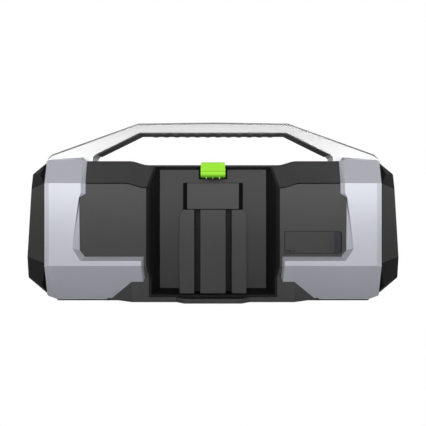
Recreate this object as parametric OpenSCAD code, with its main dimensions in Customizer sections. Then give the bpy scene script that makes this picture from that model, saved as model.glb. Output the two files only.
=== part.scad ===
// Battery-powered outdoor speaker with a fixed carrying handle.
// Millimetres. X runs along the length, Y from the battery side (minus) to the
// grille side (plus), Z up. The origin is on the ground under the middle.

/* [Body] */
// Depth between the flat rear panels and the flat front panel
body_depth = 168; // [162:1:174]
// Length of the two shells between the end caps
shell_length = 392; // [386:1:396]
// Height of the flat top above the ground
top_height = 175; // [172:1:178]
// Height of the underside above the ground
floor_height = 6.5; // [6:0.25:7.5]
// Depth of the flat top, front to back
top_depth = 96; // [92:1:100]
// Depth of the flat underside, front to back
floor_depth = 101; // [98:1:106]
// Height of the crease above each panel
high_crease = 145; // [142:1:148]
// Height of the crease below each panel
low_crease = 46.7; // [45:0.5:49]
// Thickness of the shell walls
wall = 3; // [2.5:0.1:3.4]
// Thickness of the seal between the two shells
seal_gap = 1.2; // [0.8:0.1:1.6]
// How far the middle of the top lies below the ends of the top
dip_depth = 5; // [4:0.5:6]
// Length of the flat middle of the top
dip_length = 161; // [157:1:165]
// Length of each curved ramp beside it
dip_ramp = 24; // [20:1:28]

/* [Skirt] */
// Depth between the skirt at the rear and the skirt at the front
skirt_depth = 144; // [141:1:147]
// Length of the skirt's flat face
skirt_length = 196; // [190:1:200]
// Length of each slanted end of the skirt
skirt_flare = 31; // [27:1:34]
// Height of the skirt's lower edge above the ground
skirt_height = 2.4; // [2:0.2:3]
// Length of the lip in the middle of the rear skirt
lip_length = 68; // [62:1:74]
// How far the lip stands out of the skirt
lip_reach = 10; // [8:0.5:11]
// Height of the lip, bottom to top
lip_thickness = 8.6; // [8:0.2:9]

/* [Battery bay] */
// Width of the bay where it meets the panels
bay_width = 152; // [148:1:156]
// How much each side wall closes in per millimetre of depth
bay_draft = 0.15; // [0.1:0.01:0.2]
// Depth of the bay behind the rear panels
bay_depth = 52; // [49:1:54]
// Height of the bay's floor at its back
bay_floor = 13.6; // [13:0.2:14.4]
// How far the floor falls per millimetre towards the mouth
bay_fall = 0.05; // [0.03:0.01:0.07]
// Thickness of the roof over the bay
bay_roof = 4.4; // [4:0.2:5.4]
// How far the ceiling rises per millimetre towards the mouth
bay_rise = 0.1; // [0.06:0.01:0.12]
// Width of the slanted strip round the bay's mouth
bay_bevel = 3.4; // [2.6:0.2:3.6]
// Width of the rail block's lower part
rail_width = 80; // [76:1:84]
// Width of the rail block's upper part
head_width = 62; // [58:1:66]
// Room between the rail block's top and the bay's ceiling
head_room = 20; // [18:0.5:22]
// Height of the rail block's upper part
head_height = 31.6; // [28:0.4:36]
// Distance from the rail block's face to the plane of the panels
rail_setback = 6; // [5:0.5:8]
// Width of each groove in the lower part
groove_width = 7; // [6:0.5:8]
// Depth of each groove
groove_depth = 18; // [14:1:22]
// Distance between the centres of the two grooves
groove_spacing = 37.4; // [35:0.5:40]
// Thickness of each contact blade
blade_thickness = 0.8; // [0.6:0.1:1.1]

/* [Latch] */
// Width of the latch button
latch_width = 30.4; // [28:0.5:32]
// Rounding of the latch button's four corners
latch_corner = 2.6; // [1:0.2:3.6]
// Gap on each side of the latch button
latch_gap = 2.2; // [1.6:0.2:2.8]
// Diameter of the latch pin
latch_pin_d = 2.4; // [2:0.1:2.8]

/* [Guards] */
// How far the guards' faces stand out of the panels
guard_reach = 6; // [5:0.25:7]
// Gap between the guards and what they cover
guard_gap = 0.2; // [0.15:0.05:0.3]
// Distance from the middle of the body to the guards' outer edges on the panels
guard_outer = 199.6; // [198:0.2:201]
// Distance from the middle of the body to the tips of the lower arms
arm_tip = 82; // [79:1:85]
// Height of the lower arms' upper edge
arm_top = 58.5; // [56:0.5:60]

/* [Handle] */
// Height of the handle's top in the middle
handle_height = 230.5; // [226:0.5:236]
// Depth of the handle, front to back
handle_depth = 31; // [28:0.5:34]
// Thickness of the bar in the middle, top to bottom
handle_thickness = 14.5; // [13:0.1:16]
// Distance between the bends at the top of the handle
handle_bend = 199.4; // [190:1:210]
// Length over the feet of the handle
handle_span = 439.6; // [434:1:442]
// Height of the slope along each upper edge of the bar
handle_crown = 3.2; // [2:0.2:4]
// Thickness of the rubber grip under the bar
grip_thickness = 1.4; // [1:0.1:2]
// How far each finger ridge stands out of the grip
ridge_height = 0.8; // [0.5:0.1:1.2]
// Number of finger ridges
ridge_count = 12; // [8:1:14]
// Distance from ridge to ridge
ridge_pitch = 14.2; // [13:0.2:15]

/* [End caps] */
// Distance from the middle of the body to the foot of each end face
cap_reach = 240; // [236:1:244]
// How far each end face leans in between its foot and its top
cap_lean = 11; // [8:0.5:14]
// Thickness of the end caps' walls
cap_wall = 4; // [3:0.25:5]
// Diameter of the round hole in each end cap
radiator_hole = 62; // [58:1:64]
// Travel of each radiator plate either way
radiator_travel = 3; // [2:0.5:3.5]

/* [Drivers] */
// Diameter of the woofers' mounting rings
woofer_d = 88; // [84:1:89]
// Distance from the middle of the body to each woofer's axis
woofer_offset = 94; // [92:1:97]
// Height of the woofers' axes
woofer_height = 95.8; // [95:0.2:96.6]
// Travel of each woofer cone either way
woofer_travel = 2.5; // [1.5:0.5:3]
// Diameter of the tweeters' mounting rings
tweeter_d = 34; // [31:0.5:36]
// Distance from the middle of the body to each tweeter's axis
tweeter_offset = 22; // [20:0.5:24]
// How far the tweeters' axes lie above the woofers' axes
tweeter_rise = 16.2; // [10:0.2:22]
// Distance from the front panel back to the wall that holds the drivers
baffle_setback = 11; // [10:0.5:12]
// Length of the opening for the grille
grille_length = 294; // [288:1:296]
// Height of the opening for the grille
grille_height = 92; // [91:0.5:93]
// Thickness of the grille's sheet
grille_sheet = 1.5; // [1:0.1:2]
// Distance from hole to hole in the grille
grille_pitch = 12.5; // [11:0.5:14]
// Width of each hole in the grille, across its corners
grille_hole = 9.8; // [7:0.2:10.4]

/* [Port cover] */
// Length of the port cover
cover_length = 67.4; // [64:0.5:70]
// Height of the port cover
cover_height = 25.6; // [24:0.4:26.4]
// Thickness of the port cover
cover_thickness = 2.8; // [2.4:0.1:3]
// Distance from the middle of the body to the port cover's hinged edge
cover_start = 84.8; // [84.4:0.2:87]
// Height of the port cover's middle
cover_middle = 75.2; // [75:0.2:76]
// Diameter of the port cover's hinge pin
cover_pin_d = 1.2; // [1:0.1:1.4]

/* [Controls] */
// Length of the control panel
panel_length = 124; // [120:1:128]
// Depth of the control panel, front to back
panel_depth = 38; // [34:1:39]
// Diameter of the buttons
button_d = 14; // [12:0.5:15]
// Distance from button to button
button_pitch = 22; // [20:0.5:23]
// How far a button can be pressed
button_travel = 1.2; // [0.8:0.1:1.4]

/* [Feet] */
// Length of each foot
foot_length = 95; // [86:1:98]
// Width of each foot
foot_width = 14; // [12:0.5:15]

/* [Hidden] */

$fn = 48;
far = 700;
cut = 1;
panel_y = body_depth / 2;
top_y = top_depth / 2;
floor_y = floor_depth / 2;
shell_x = shell_length / 2;
slope_rise = (top_height - high_crease) / (panel_y - top_y);
skirt_y = skirt_depth / 2;
skirt_x = skirt_length / 2;
guard_y = panel_y + guard_reach;
dip_height = top_height - dip_depth;
bay_back_y = -panel_y + bay_depth;
bay_ceiling = dip_height - bay_roof;
rail_top = bay_ceiling - head_room;
rail_split = rail_top - head_height;
plate_wall = 3;
fit = 0.2;
ramp_steps = 6;

// Outline of the body seen from its end, anticlockwise in Y and Z
section = [[-panel_y, high_crease], [-panel_y, low_crease], [-floor_y, floor_height],
    [floor_y, floor_height], [panel_y, low_crease], [panel_y, high_crease],
    [top_y, top_height], [-top_y, top_height]];

function unit(v) = v / norm(v);

// Moves each edge of a convex anticlockwise outline inwards by t
function shifted(pts, t) = [for (i = [0 : len(pts) - 1])
    let (n = len(pts), a = pts[(i + n - 1) % n], b = pts[i], c = pts[(i + 1) % n],
        u = unit(b - a), v = unit(c - b), p = [-u.y, u.x], q = [-v.y, v.x])
    b + (p + q) * t / (1 + p * q)];

// Extrudes an outline in Y and Z along X
module along_x(x0, x1) {
    translate([x0, 0, 0]) rotate([90, 0, 90]) linear_extrude(x1 - x0) children();
}

// Extrudes an outline in X and Z along Y
module along_y(y0, y1) {
    translate([0, y1, 0]) rotate([90, 0, 0]) linear_extrude(y1 - y0) children();
}

module box(low, high) {
    translate(low) cube(high - low);
}

// Everything behind the plane through p whose outward normal is n
module behind(n, p) {
    translate(p) rotate([0, acos(n.z / norm(n)), atan2(n.y, n.x)])
        translate([-far / 2, -far / 2, -far]) cube(far);
}

module both_sides() {
    children();
    mirror([1, 0, 0]) children();
}

// A cylinder lying along Y, from y0 to y1
module rod_y(r, x, z, y0, y1) {
    translate([x, y1, z]) rotate([90, 0, 0]) cylinder(r = r, h = y1 - y0);
}

// Depth of the dip at x: a half wave on each ramp
function dip_at(x) = let (s = (dip_length / 2 + dip_ramp - abs(x)) / dip_ramp)
    dip_depth * (s <= 0 ? 0 : s >= 1 ? 1 : (1 - cos(180 * s)) / 2);
dip_xs = concat([for (i = [0 : ramp_steps]) -dip_length / 2 - dip_ramp * (1 - i / ramp_steps)],
    [for (i = [0 : ramp_steps]) dip_length / 2 + dip_ramp * i / ramp_steps]);

// The dip's cutter for a flat face at height 0, scaled in depth by k, running along Y
module dip_cutter(k) {
    along_y(-far / 2, far / 2) polygon(concat([[-dip_length, dip_depth]],
        [for (x = dip_xs) [x, -k * dip_at(x)]], [[dip_length, dip_depth]]));
}

// The body's outer form moved inwards by t
module body_solid(t, half_length) {
    slope = atan(slope_rise);
    difference() {
        along_x(-half_length, half_length) polygon(shifted(section, t));
        translate([0, 0, top_height - t]) dip_cutter(1);
        for (side = [0, 1]) mirror([0, side, 0])
            translate([0, -panel_y, high_crease]) rotate([slope, 0, 0])
                translate([0, 0, -t]) dip_cutter(cos(slope));
    }
}

// The upright skirt under one long side, moved inwards by t
module skirt_solid(t) {
    end = skirt_x + skirt_flare;
    translate([0, 0, skirt_height + t]) linear_extrude(low_crease - skirt_height - t)
        polygon([[-end, -floor_y + t + cut], [-end, -floor_y + t], [-skirt_x + t, -skirt_y + t],
            [skirt_x - t, -skirt_y + t], [end, -floor_y + t], [end, -floor_y + t + cut]]);
}

// The body with its skirts, as the two shells share it
module shell_form(t, half_length) {
    body_solid(t, half_length);
    for (side = [0, 1]) mirror([0, side, 0]) intersection() {
        skirt_solid(t);
        box([-far, -far, 0], [far, far, low_crease - t]);
    }
    box([-skirt_x - skirt_flare + t, -floor_y + t, skirt_height + t],
        [skirt_x + skirt_flare - t, floor_y - t, floor_height + t]);
}

// The room for the battery, its walls moved outwards by t, open to the rear
module bay_form(t) {
    side = unit([1, bay_draft, 0]);
    down = unit([0, bay_fall, -1]);
    intersection() {
        box([-far / 2, -far / 2, 0], [far / 2, bay_back_y + t, far / 2]);
        behind(side, [bay_width / 2, -panel_y, 0] + t * side);
        mirror([1, 0, 0]) behind(side, [bay_width / 2, -panel_y, 0] + t * side);
        behind(down, [0, bay_back_y, bay_floor] + t * down);
        behind([0, bay_rise, 1], [0, bay_back_y, bay_ceiling]);
    }
}

// The part of the top wall that the bay's ceiling is cut from
module ceiling_slab() {
    intersection() {
        box([-bay_width / 2 - plate_wall, -panel_y, bay_ceiling],
            [bay_width / 2 + plate_wall, bay_back_y + plate_wall, top_height]);
        body_solid(0, shell_x);
    }
}

// Opening in the top for the latch
latch_slot_x = latch_width / 2 + latch_gap;
latch_back_y = bay_back_y - 2;
latch_front_y = latch_back_y - 26.5;
latch_shelf_z = dip_height - 12;
module latch_slot() {
    box([-latch_slot_x, -far / 4, latch_shelf_z + 4],
        [latch_slot_x, latch_back_y + 2.6, far / 2]);
}

// A low fence on the top that closes the slot behind the latch
module latch_fence() {
    box([-latch_slot_x - 1.5, latch_back_y + 2.6, dip_height - wall / 2],
        [latch_slot_x + 1.5, latch_back_y + 4.6, dip_height + 1.6]);
}

latch_pin_y = latch_back_y - 8;
latch_pin_z = dip_height - 2.6;

// Opening in the rear panel for the port cover
cover_low = cover_middle - cover_height / 2;
cover_high = cover_middle + cover_height / 2;
cover_end = cover_start + cover_length;
cover_gap = 0.4;
cover_pin_x = cover_start + cover_thickness / 2;
cover_pin_y = -panel_y + cover_thickness / 2;
cover_corner = 4;
module rounded_outline(x0, z0, x1, z1, r) {
    union() {
        translate([x0 + r, z0]) square([x1 - x0 - 2 * r, z1 - z0]);
        translate([x0, z0 + r]) square([x1 - x0, z1 - z0 - 2 * r]);
        for (x = [x0 + r, x1 - r], z = [z0 + r, z1 - r]) translate([x, z]) circle(r);
    }
}
module cover_outline(t) {
    intersection() {
        rounded_outline(cover_start - 20, cover_low - t, cover_end + t, cover_high + t,
            cover_corner);
        translate([cover_start - t, 0]) square(far);
    }
}

// Bolts that hold the handle: two rows through the top of the shells
bolt_x = 181;
bolt_rows = [-8.5, 8.5];
bolt_r = 2.4;
bolt_head_r = 4.5;
screw_x = 167;
lug_inset = 4.5;
case_lugs = [[screw_x, top_height - wall - lug_inset], [screw_x, floor_height + wall + lug_inset],
    [screw_x - 30, floor_height + wall + lug_inset]];
lug_r = 5.5;
lug_reach = 14;
case_screw_r = 1.5;
guard_screw_r = 1.6;
guard_screw_y = 24;
guard_screw_xs = [140, 178];
guard_screw_head_r = 3;
guard_screw_head = 1.2;
guard_screw_length = 12;
baffle_y = panel_y - baffle_setback;
baffle_wall = 4;
woofer_r = woofer_d / 2;
woofer_cut_r = woofer_r - 6;
tweeter_r = tweeter_d / 2;
tweeter_height = woofer_height + tweeter_rise;
tweeter_cut_r = tweeter_r - 4;
driver_screw_r = 1.3;
grille_low = woofer_height - grille_height / 2;
grille_high = woofer_height + grille_height / 2;
panel_mid_y = 26;
panel_plate = 2.5;
panel_rim = 1;
panel_top = dip_height + panel_rim;
pocket_depth = 9;

// Lugs in both shells that the case screws pass through
module lugs(y0, y1, r) {
    both_sides() for (p = case_lugs) rod_y(r, p.x, p.y, y0, y1);
}

// Holes through the tops and undersides of one shell, on its own side of the seal
module shell_fixings(side) {
    both_sides() {
        translate([bolt_x, side * bolt_rows[1], top_height - wall - 8])
            cylinder(r = bolt_r + 0.1, h = 12);
        for (x = guard_screw_xs) translate([x, side * guard_screw_y, 0])
            cylinder(r = guard_screw_r + 0.1, h = floor_height + 12);
    }
}

// Blocks inside the floor that take the guard screws
module guard_bosses(side) {
    both_sides() for (x = guard_screw_xs)
        translate([x, side * guard_screw_y, floor_height + 1]) cylinder(r = 5, h = 10);
}

module rear_shell() {
    color([0.27, 0.27, 0.27]) difference() {
        union() {
            lip();
            latch_fence();
            difference() {
                shell_form(0, shell_x);
                difference() {
                    shell_form(wall, shell_x + cut);
                    ceiling_slab();
                    guard_bosses(-1);
                }
                box([-far, -seal_gap / 2, -far], [far, far, far]);
            }
            intersection() {
                lugs(-lug_reach, -seal_gap / 2, lug_r);
                body_solid(wall / 2, shell_x);
            }
        }
        bay_form(plate_wall + fit);
        latch_slot();
        latch_pin_path(latch_pin_d / 2 + 0.05);
        along_y(-panel_y - cut, -panel_y + wall + cut) cover_outline(cover_gap);
        translate([cover_pin_x, cover_pin_y, cover_low - 3]) cylinder(d = cover_pin_d + 0.1,
            h = cover_height + 6);
        lugs(-far, far, case_screw_r + 0.1);
        shell_fixings(-1);
        control_opening();
    }
}

// The latch pin's path along X
module latch_pin_path(r) {
    translate([0, latch_pin_y, latch_pin_z]) rotate([0, 90, 0])
        cylinder(r = r, h = 2 * latch_slot_x + 8, center = true);
}

// The lip under the rail block
lip_top = skirt_height + lip_thickness;
module lip() {
    half = lip_length / 2;
    translate([0, 0, lip_top - lip_thickness]) linear_extrude(lip_thickness)
        polygon([[-half - lip_reach, -skirt_y + wall], [-half - lip_reach, -skirt_y],
            [-half, -skirt_y - lip_reach], [half, -skirt_y - lip_reach],
            [half + lip_reach, -skirt_y], [half + lip_reach, -skirt_y + wall]]);
}

// Opening for the control panel in the top of both shells
module control_opening() {
    box([-panel_length / 2 - fit, panel_mid_y - panel_depth / 2 - fit, dip_height - wall - cut],
        [panel_length / 2 + fit, panel_mid_y + panel_depth / 2 + fit, far / 2]);
}

module front_shell() {
    color([0.27, 0.27, 0.27]) difference() {
        union() {
            difference() {
                shell_form(0, shell_x);
                difference() {
                    shell_form(wall, shell_x + cut);
                    guard_bosses(1);
                    baffle_box();
                }
                box([-far, -far, -far], [far, seal_gap / 2, far]);
            }
            intersection() {
                lugs(seal_gap / 2, lug_reach, lug_r);
                body_solid(wall / 2, shell_x);
            }
        }
        along_y(baffle_y, far / 2) rounded_outline(-grille_length / 2, grille_low,
            grille_length / 2, grille_high, 8);
        both_sides() {
            rod_y(woofer_cut_r, woofer_offset, woofer_height, 0, far / 2);
            rod_y(tweeter_cut_r, tweeter_offset, tweeter_height, 0, far / 2);
        }
        driver_screw_paths(driver_screw_r + 0.1, 0, far / 2);
        lugs(-far, far, case_screw_r + 0.1);
        shell_fixings(1);
        control_opening();
    }
}

// The recess wall that carries the drivers, with its sides out to the front panel
module baffle_box() {
    along_y(baffle_y - baffle_wall, panel_y) rounded_outline(-grille_length / 2 - wall,
        grille_low - wall, grille_length / 2 + wall, grille_high + wall, 8 + wall);
}

// Screw positions round each driver
module driver_screw_paths(r, y0, y1) {
    both_sides() {
        for (a = [45 : 90 : 315])
            rod_y(r, woofer_offset + (woofer_r - 3) * cos(a), woofer_height
                + (woofer_r - 3) * sin(a), y0, y1);
        for (a = [90, 270])
            rod_y(r, tweeter_offset, tweeter_height + (tweeter_r - 2.1) * sin(a), y0, y1);
    }
}

module case_seal() {
    color([0.1, 0.1, 0.1]) difference() {
        intersection() {
            shell_form(0.6, shell_x);
            box([-far, -seal_gap / 2, -far], [far, seal_gap / 2, far]);
        }
        shell_form(wall - 0.2, shell_x + cut);
    }
}

module front_grille() {
    low = grille_low + fit;
    high = grille_high - fit;
    half = grille_length / 2 - fit;
    y1 = panel_y - 2;
    rows = floor((grille_height - 14) / (grille_pitch * cos(30)));
    cols = floor((grille_length - 16) / grille_pitch);
    color([0.12, 0.12, 0.13]) difference() {
        along_y(baffle_y, y1) rounded_outline(-half, low, half, high, 8);
        along_y(baffle_y - cut, y1 - grille_sheet) rounded_outline(-half + grille_sheet,
            low + grille_sheet, half - grille_sheet, high - grille_sheet, 7);
        for (row = [0 : rows - 1], col = [0 : cols - 1 - row % 2])
            translate([(col - (cols - 1 - row % 2) / 2) * grille_pitch, y1 + cut,
                woofer_height + (row - (rows - 1) / 2) * grille_pitch * cos(30)])
                rotate([90, 30, 0]) cylinder(d = grille_hole, h = grille_sheet + 3, $fn = 6);
    }
}

// Joins rings of points, all of one length, into one closed form
module loft(rings) {
    n = len(rings[0]);
    m = len(rings);
    polyhedron(
        points = [for (ring = rings) each ring],
        faces = concat([[for (i = [0 : n - 1]) n - 1 - i]],
            [for (j = [0 : m - 2], i = [0 : n - 1])
                [j * n + i, j * n + (i + 1) % n, (j + 1) * n + (i + 1) % n, (j + 1) * n + i]],
            [[for (i = [0 : n - 1]) (m - 1) * n + i]]));
}

// One ring of a guard: inner base, inner face, outer face and outer base. A base point
// lies on the body at its own height, and a face point on the guard's outside
function guard_ring(xs, base, base_in, face, face_in) = [[xs[0], base_in.x, base_in.y],
    [xs[1], face_in.x, face_in.y], [xs[2], face.x, face.y], [xs[3], base.x, base.y]];
face_y = -guard_y;
foot_y = -handle_depth / 2 - 0.4;
guard_crest = [foot_y, top_height + 8.4];
guard_shoulder = [-top_y - 2, top_height + 1.4];
guard_hip = [face_y, high_crease];
guard_knee = [face_y, low_crease + 1.3];
guard_heel = [-floor_y - 2.4, skirt_height + 1.8];
guard_sole = [-floor_y - 0.8, skirt_height];
guard_toe = [-14, skirt_height];
body_crest = [foot_y, top_height];
body_shoulder = [-top_y, top_height];
body_hip = [-panel_y, high_crease];
body_knee = [-panel_y, low_crease];
body_ankle = [-floor_y - 2 * (panel_y - floor_y) / (low_crease - floor_height), floor_height + 2];
body_heel = [-floor_y, floor_height];
body_toe = [-14, floor_height];
edge_in = guard_outer - 49;
flat_in = guard_outer - 45;
flat_out = guard_outer - 7.4;
function at_height(p, z) = [p.x, z];

upper_rings = [
    guard_ring([edge_in + 14, edge_in + 20, guard_outer + 11, guard_outer + 17.4],
        body_crest, body_crest, guard_crest - [0, 2.6], guard_crest),
    guard_ring([edge_in + 7, flat_in + 9, guard_outer + 5.4, guard_outer + 9],
        body_shoulder, body_shoulder, guard_shoulder, guard_shoulder),
    guard_ring([edge_in, flat_in, flat_out, guard_outer],
        body_hip, body_hip, guard_hip, guard_hip)];
lower_rings = [
    guard_ring([edge_in + 2, flat_in + 2, flat_out, guard_outer],
        body_knee, body_knee, guard_knee, guard_knee),
    guard_ring([edge_in - 22, flat_in - 22, flat_out + 1.4, guard_outer + 7],
        body_ankle, body_ankle, guard_heel, guard_heel),
    guard_ring([edge_in - 22, flat_in - 22, flat_out + 1.4, guard_outer + 6],
        body_heel, body_heel, guard_sole, guard_sole),
    guard_ring([edge_in - 22, flat_in - 22, flat_out + 1.4, guard_outer + 6],
        body_toe, body_toe, guard_toe, guard_toe)];
// The rear guard's upright narrows in a long slant above the arm
jog_rings = [for (s = [[0, 0, 133, 133], [7.4, 2.7, 130.6, 127.6],
        [6.7, 10.1, 65.9, 68.6], [1.5, 1.1, 59.9, 54.4]])
    guard_ring([edge_in + s[0], flat_in + s[1], flat_out, guard_outer],
        at_height(body_hip, s[3]), at_height(body_hip, s[2]), at_height(guard_hip, s[3]),
        at_height(guard_hip, s[3]))];

module guard_body(rings) {
    difference() {
        union() {
            loft(rings);
            children();
        }
        shell_form(-guard_gap, shell_x);
        cap_form(-guard_gap);
        for (x = guard_screw_xs) translate([x, -guard_screw_y, 0]) {
            cylinder(r = guard_screw_r + fit, h = floor_height + 2);
            cylinder(r = guard_screw_head_r + fit, h = skirt_height + guard_screw_head);
        }
    }
}

module right_rear_guard_form() {
    arm_end = guard_outer - 40;
    tip_in = arm_tip + 2.2;
    guard_body(concat(upper_rings, jog_rings, lower_rings))
        loft([
            [[arm_tip, -panel_y, arm_top], [tip_in, face_y, arm_top - 4.6],
                [arm_end, face_y, arm_top - 4.6], [arm_end, -panel_y, arm_top]],
            [[arm_tip, -panel_y, low_crease], [tip_in, face_y, guard_knee.y],
                [arm_end, face_y, guard_knee.y], [arm_end, -panel_y, low_crease]],
            [[arm_tip, body_heel.x, body_heel.y], [tip_in, guard_heel.x, guard_heel.y],
                [arm_end, guard_heel.x, guard_heel.y], [arm_end, body_heel.x, body_heel.y]]]);
}

module right_front_guard_form() {
    mirror([0, 1, 0]) guard_body(concat(upper_rings, lower_rings));
}

guard_colour = [0.72, 0.74, 0.79];
module right_guard_rear() {
    color(guard_colour) right_rear_guard_form();
}
module left_guard_rear() {
    color(guard_colour) mirror([1, 0, 0]) right_rear_guard_form();
}
module right_guard_front() {
    color(guard_colour) right_front_guard_form();
}
module left_guard_front() {
    color(guard_colour) mirror([1, 0, 0]) right_front_guard_form();
}

// The outward normal of a facet turned from the end towards the rear and tilted upwards
function facing(turn, tilt) = [cos(turn) * cos(tilt), -sin(turn) * cos(tilt), sin(tilt)];

// The upright, upper and lower facets at the end cap's rear, and its two cut corners
module cap_facets(t) {
    foot_x = guard_outer + 0.4;
    middle = facing(37.6, 0);
    upper = facing(37.2, 5);
    lower = facing(37.1, -10.5);
    crown = facing(41, 41);
    corner = facing(30, -45.6);
    intersection() {
        behind(middle, [foot_x, -panel_y, 0] - t * middle);
        behind(upper, [foot_x, -panel_y, high_crease] - t * upper);
        behind(lower, [foot_x, -panel_y, low_crease + 4] - t * lower);
        behind(crown, [cap_reach - 15.6, -top_y - 1.8, top_height - 16] - t * crown);
        behind(corner, [cap_reach - 2.9, -panel_y + 57, floor_height + 19] - t * corner);
    }
}

// The right end cap's outer form, moved inwards by t
cap_foot_z = 30;
module cap_form(t) {
    end = unit([high_crease - low_crease, 0, cap_lean]);
    bottom = facing(0, -50);
    top = facing(0, 52);
    intersection() {
        along_x(shell_x, cap_reach + 10) polygon(shifted(section, t));
        cap_facets(t);
        mirror([0, 1, 0]) cap_facets(t);
        behind(end, [cap_reach, 0, cap_foot_z] - t * end);
        behind(bottom, [cap_reach - 2, 0, floor_height + 15.5] - t * bottom);
        behind(top, [cap_reach - 15.6, 0, top_height - 16] - t * top);
    }
}
radiator_z = 93;
radiator_seat = cap_reach - 22;
module along_x_rod(r, x0, x1, z) {
    translate([x0, 0, z]) rotate([0, 90, 0]) cylinder(r = r, h = x1 - x0);
}

module right_cap_solid() {
    hole_r = radiator_hole / 2;
    difference() {
        union() {
            difference() {
                cap_form(0);
                cap_form(cap_wall);
                along_x(0, shell_x + cap_wall + cut) polygon(shifted(section, cap_wall));
            }
            intersection() {
                cap_form(0);
                along_x_rod(hole_r + 4, radiator_seat - 6, cap_reach + 10, radiator_z);
            }
            difference() {
                along_x(shell_x - 8, shell_x + cap_wall) polygon(shifted(section, wall + fit));
                along_x(0, far) polygon(shifted(section, wall + fit + 2.4));
            }
        }
        along_x_rod(hole_r, radiator_seat, far, radiator_z);
        along_x_rod(hole_r - 4, radiator_seat - 20, far, radiator_z);
    }
}
module right_end_cap() {
    color([0.2, 0.2, 0.2]) right_cap_solid();
}
module left_end_cap() {
    color([0.2, 0.2, 0.2]) mirror([1, 0, 0]) right_cap_solid();
}

// Handle outline in X and Z, from the middle of its top round to the left
handle_foot_z = top_height + fit;
grip_z = handle_height - handle_thickness;
bar_half = handle_span / 2;
leg_in = 158;
outer_arch = [[-bar_half, handle_foot_z], [-bar_half, top_height + 7.4],
    [-bar_half + 5.6, top_height + 12.8], [-handle_bend / 2, handle_height - 1.3],
    [0, handle_height], [handle_bend / 2, handle_height - 1.3],
    [bar_half - 5.6, top_height + 12.8], [bar_half, top_height + 7.4],
    [bar_half, handle_foot_z]];
inner_arch = [[leg_in, handle_foot_z], [leg_in, top_height + 8.5],
    [leg_in - 4, top_height + 12.7], [handle_bend / 2 - 3, grip_z],
    [-handle_bend / 2 + 3, grip_z], [-leg_in + 4, top_height + 12.7],
    [-leg_in, top_height + 8.5], [-leg_in, handle_foot_z]];

// The arch's outline down to the ground, anticlockwise, its edges moved inwards by t
module handle_outline(t) {
    polygon(shifted(concat([[-bar_half, 0], [bar_half, 0]],
        [for (i = [1 : len(outer_arch) - 2]) outer_arch[len(outer_arch) - 1 - i]]), t));
}

module handle_bar() {
    half = handle_depth / 2;
    crown_run = 2 * handle_crown;
    color([0.95, 0.95, 0.95]) difference() {
        hull() {
            along_y(-half, half) handle_outline(handle_crown);
            along_y(-half + crown_run, half - crown_run) handle_outline(0);
        }
        box([-far, -far, -far], [far, far, handle_foot_z]);
        along_y(-far, far) polygon(concat([[-leg_in, -cut], [leg_in, -cut]], inner_arch));
        both_sides() for (y = bolt_rows)
            translate([bolt_x, y, handle_foot_z - cut]) cylinder(r = bolt_r + 0.1, h = 12 + cut);
    }
}

module handle_grip() {
    half = handle_depth / 2 - 0.8;
    bend = handle_bend / 2 - 3;
    foot = leg_in - 5;
    pitch = atan((grip_z - top_height - 12.7) / (leg_in - 4 - bend));
    drop = grip_thickness / cos(pitch);
    foot_z = grip_z - (foot - bend) * tan(pitch);
    bend_in = bend - grip_thickness * tan(pitch / 2);
    color([0.16, 0.16, 0.16]) {
        along_y(-half, half) polygon([[-foot, foot_z], [-bend, grip_z], [bend, grip_z],
            [foot, foot_z], [foot, foot_z - drop], [bend_in, grip_z - grip_thickness],
            [-bend_in, grip_z - grip_thickness], [-foot, foot_z - drop]]);
        for (i = [0 : ridge_count - 1])
            translate([(i - (ridge_count - 1) / 2) * ridge_pitch, 0, grip_z - grip_thickness])
                finger_ridge(half);
    }
}

// A finger ridge: the shallow underside of a wide cylinder
module finger_ridge(half) {
    chord = ridge_pitch * 0.62;
    r = (chord * chord / 4 + ridge_height * ridge_height) / (2 * ridge_height);
    intersection() {
        rod_y(r, 0, r - ridge_height, -half, half);
        box([-chord, -half, -ridge_height - cut], [chord, half, grip_thickness / 2]);
    }
}

module handle_bolts() {
    color([0.6, 0.6, 0.62]) both_sides() for (y = bolt_rows) {
        translate([bolt_x, y, top_height - wall - 4]) cylinder(r = bolt_head_r, h = 4);
        translate([bolt_x, y, top_height - wall - 1]) cylinder(r = bolt_r, h = wall + 11);
    }
}

module battery_bay() {
    slant_in = bay_width / 2 - bay_bevel * bay_draft;
    color([0.25, 0.25, 0.25]) difference() {
        intersection() {
            difference() {
                bay_form(plate_wall);
                bay_form(0);
            }
            shell_form(0, shell_x);
        }
        both_sides() linear_extrude(far / 2)
            polygon([[slant_in, -panel_y + bay_bevel], [slant_in + plate_wall + 0.6, -panel_y],
                [slant_in + plate_wall + 0.6, -far / 4], [slant_in - 9, -far / 4],
                [slant_in - 9, -panel_y + bay_bevel]]);
        latch_slot();
    }
    color([0.25, 0.25, 0.25]) box([-6, bay_back_y - 8, latch_shelf_z - 3],
        [6, bay_back_y, latch_shelf_z]);
}

rail_y = -panel_y + rail_setback;
rail_foot_z = max(bay_floor, lip_top) + 0.3;
module rail_block() {
    half = rail_width / 2;
    neck = half - 4.3;
    color([0.27, 0.27, 0.27]) difference() {
        along_y(rail_y, bay_back_y) polygon([[-half, rail_foot_z], [half, rail_foot_z],
            [half, rail_split - 5.1], [neck, rail_split - 1], [neck, rail_split],
            [-neck, rail_split], [-neck, rail_split - 1], [-half, rail_split - 5.1]]);
        for (side = [-1, 1]) translate([side * groove_spacing / 2, 0, 0])
            box([-groove_width / 2, rail_y - cut, 0],
                [groove_width / 2, rail_y + groove_depth, rail_split + cut]);
    }
}

// The holder stands out beside the cover and above it
module contact_holder() {
    half = rail_width / 2 - 2.8;
    color([0.05, 0.05, 0.05]) box([-half, rail_y + 26, rail_split + 0.2],
        [half, bay_back_y, rail_top + 2]);
}

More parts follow.
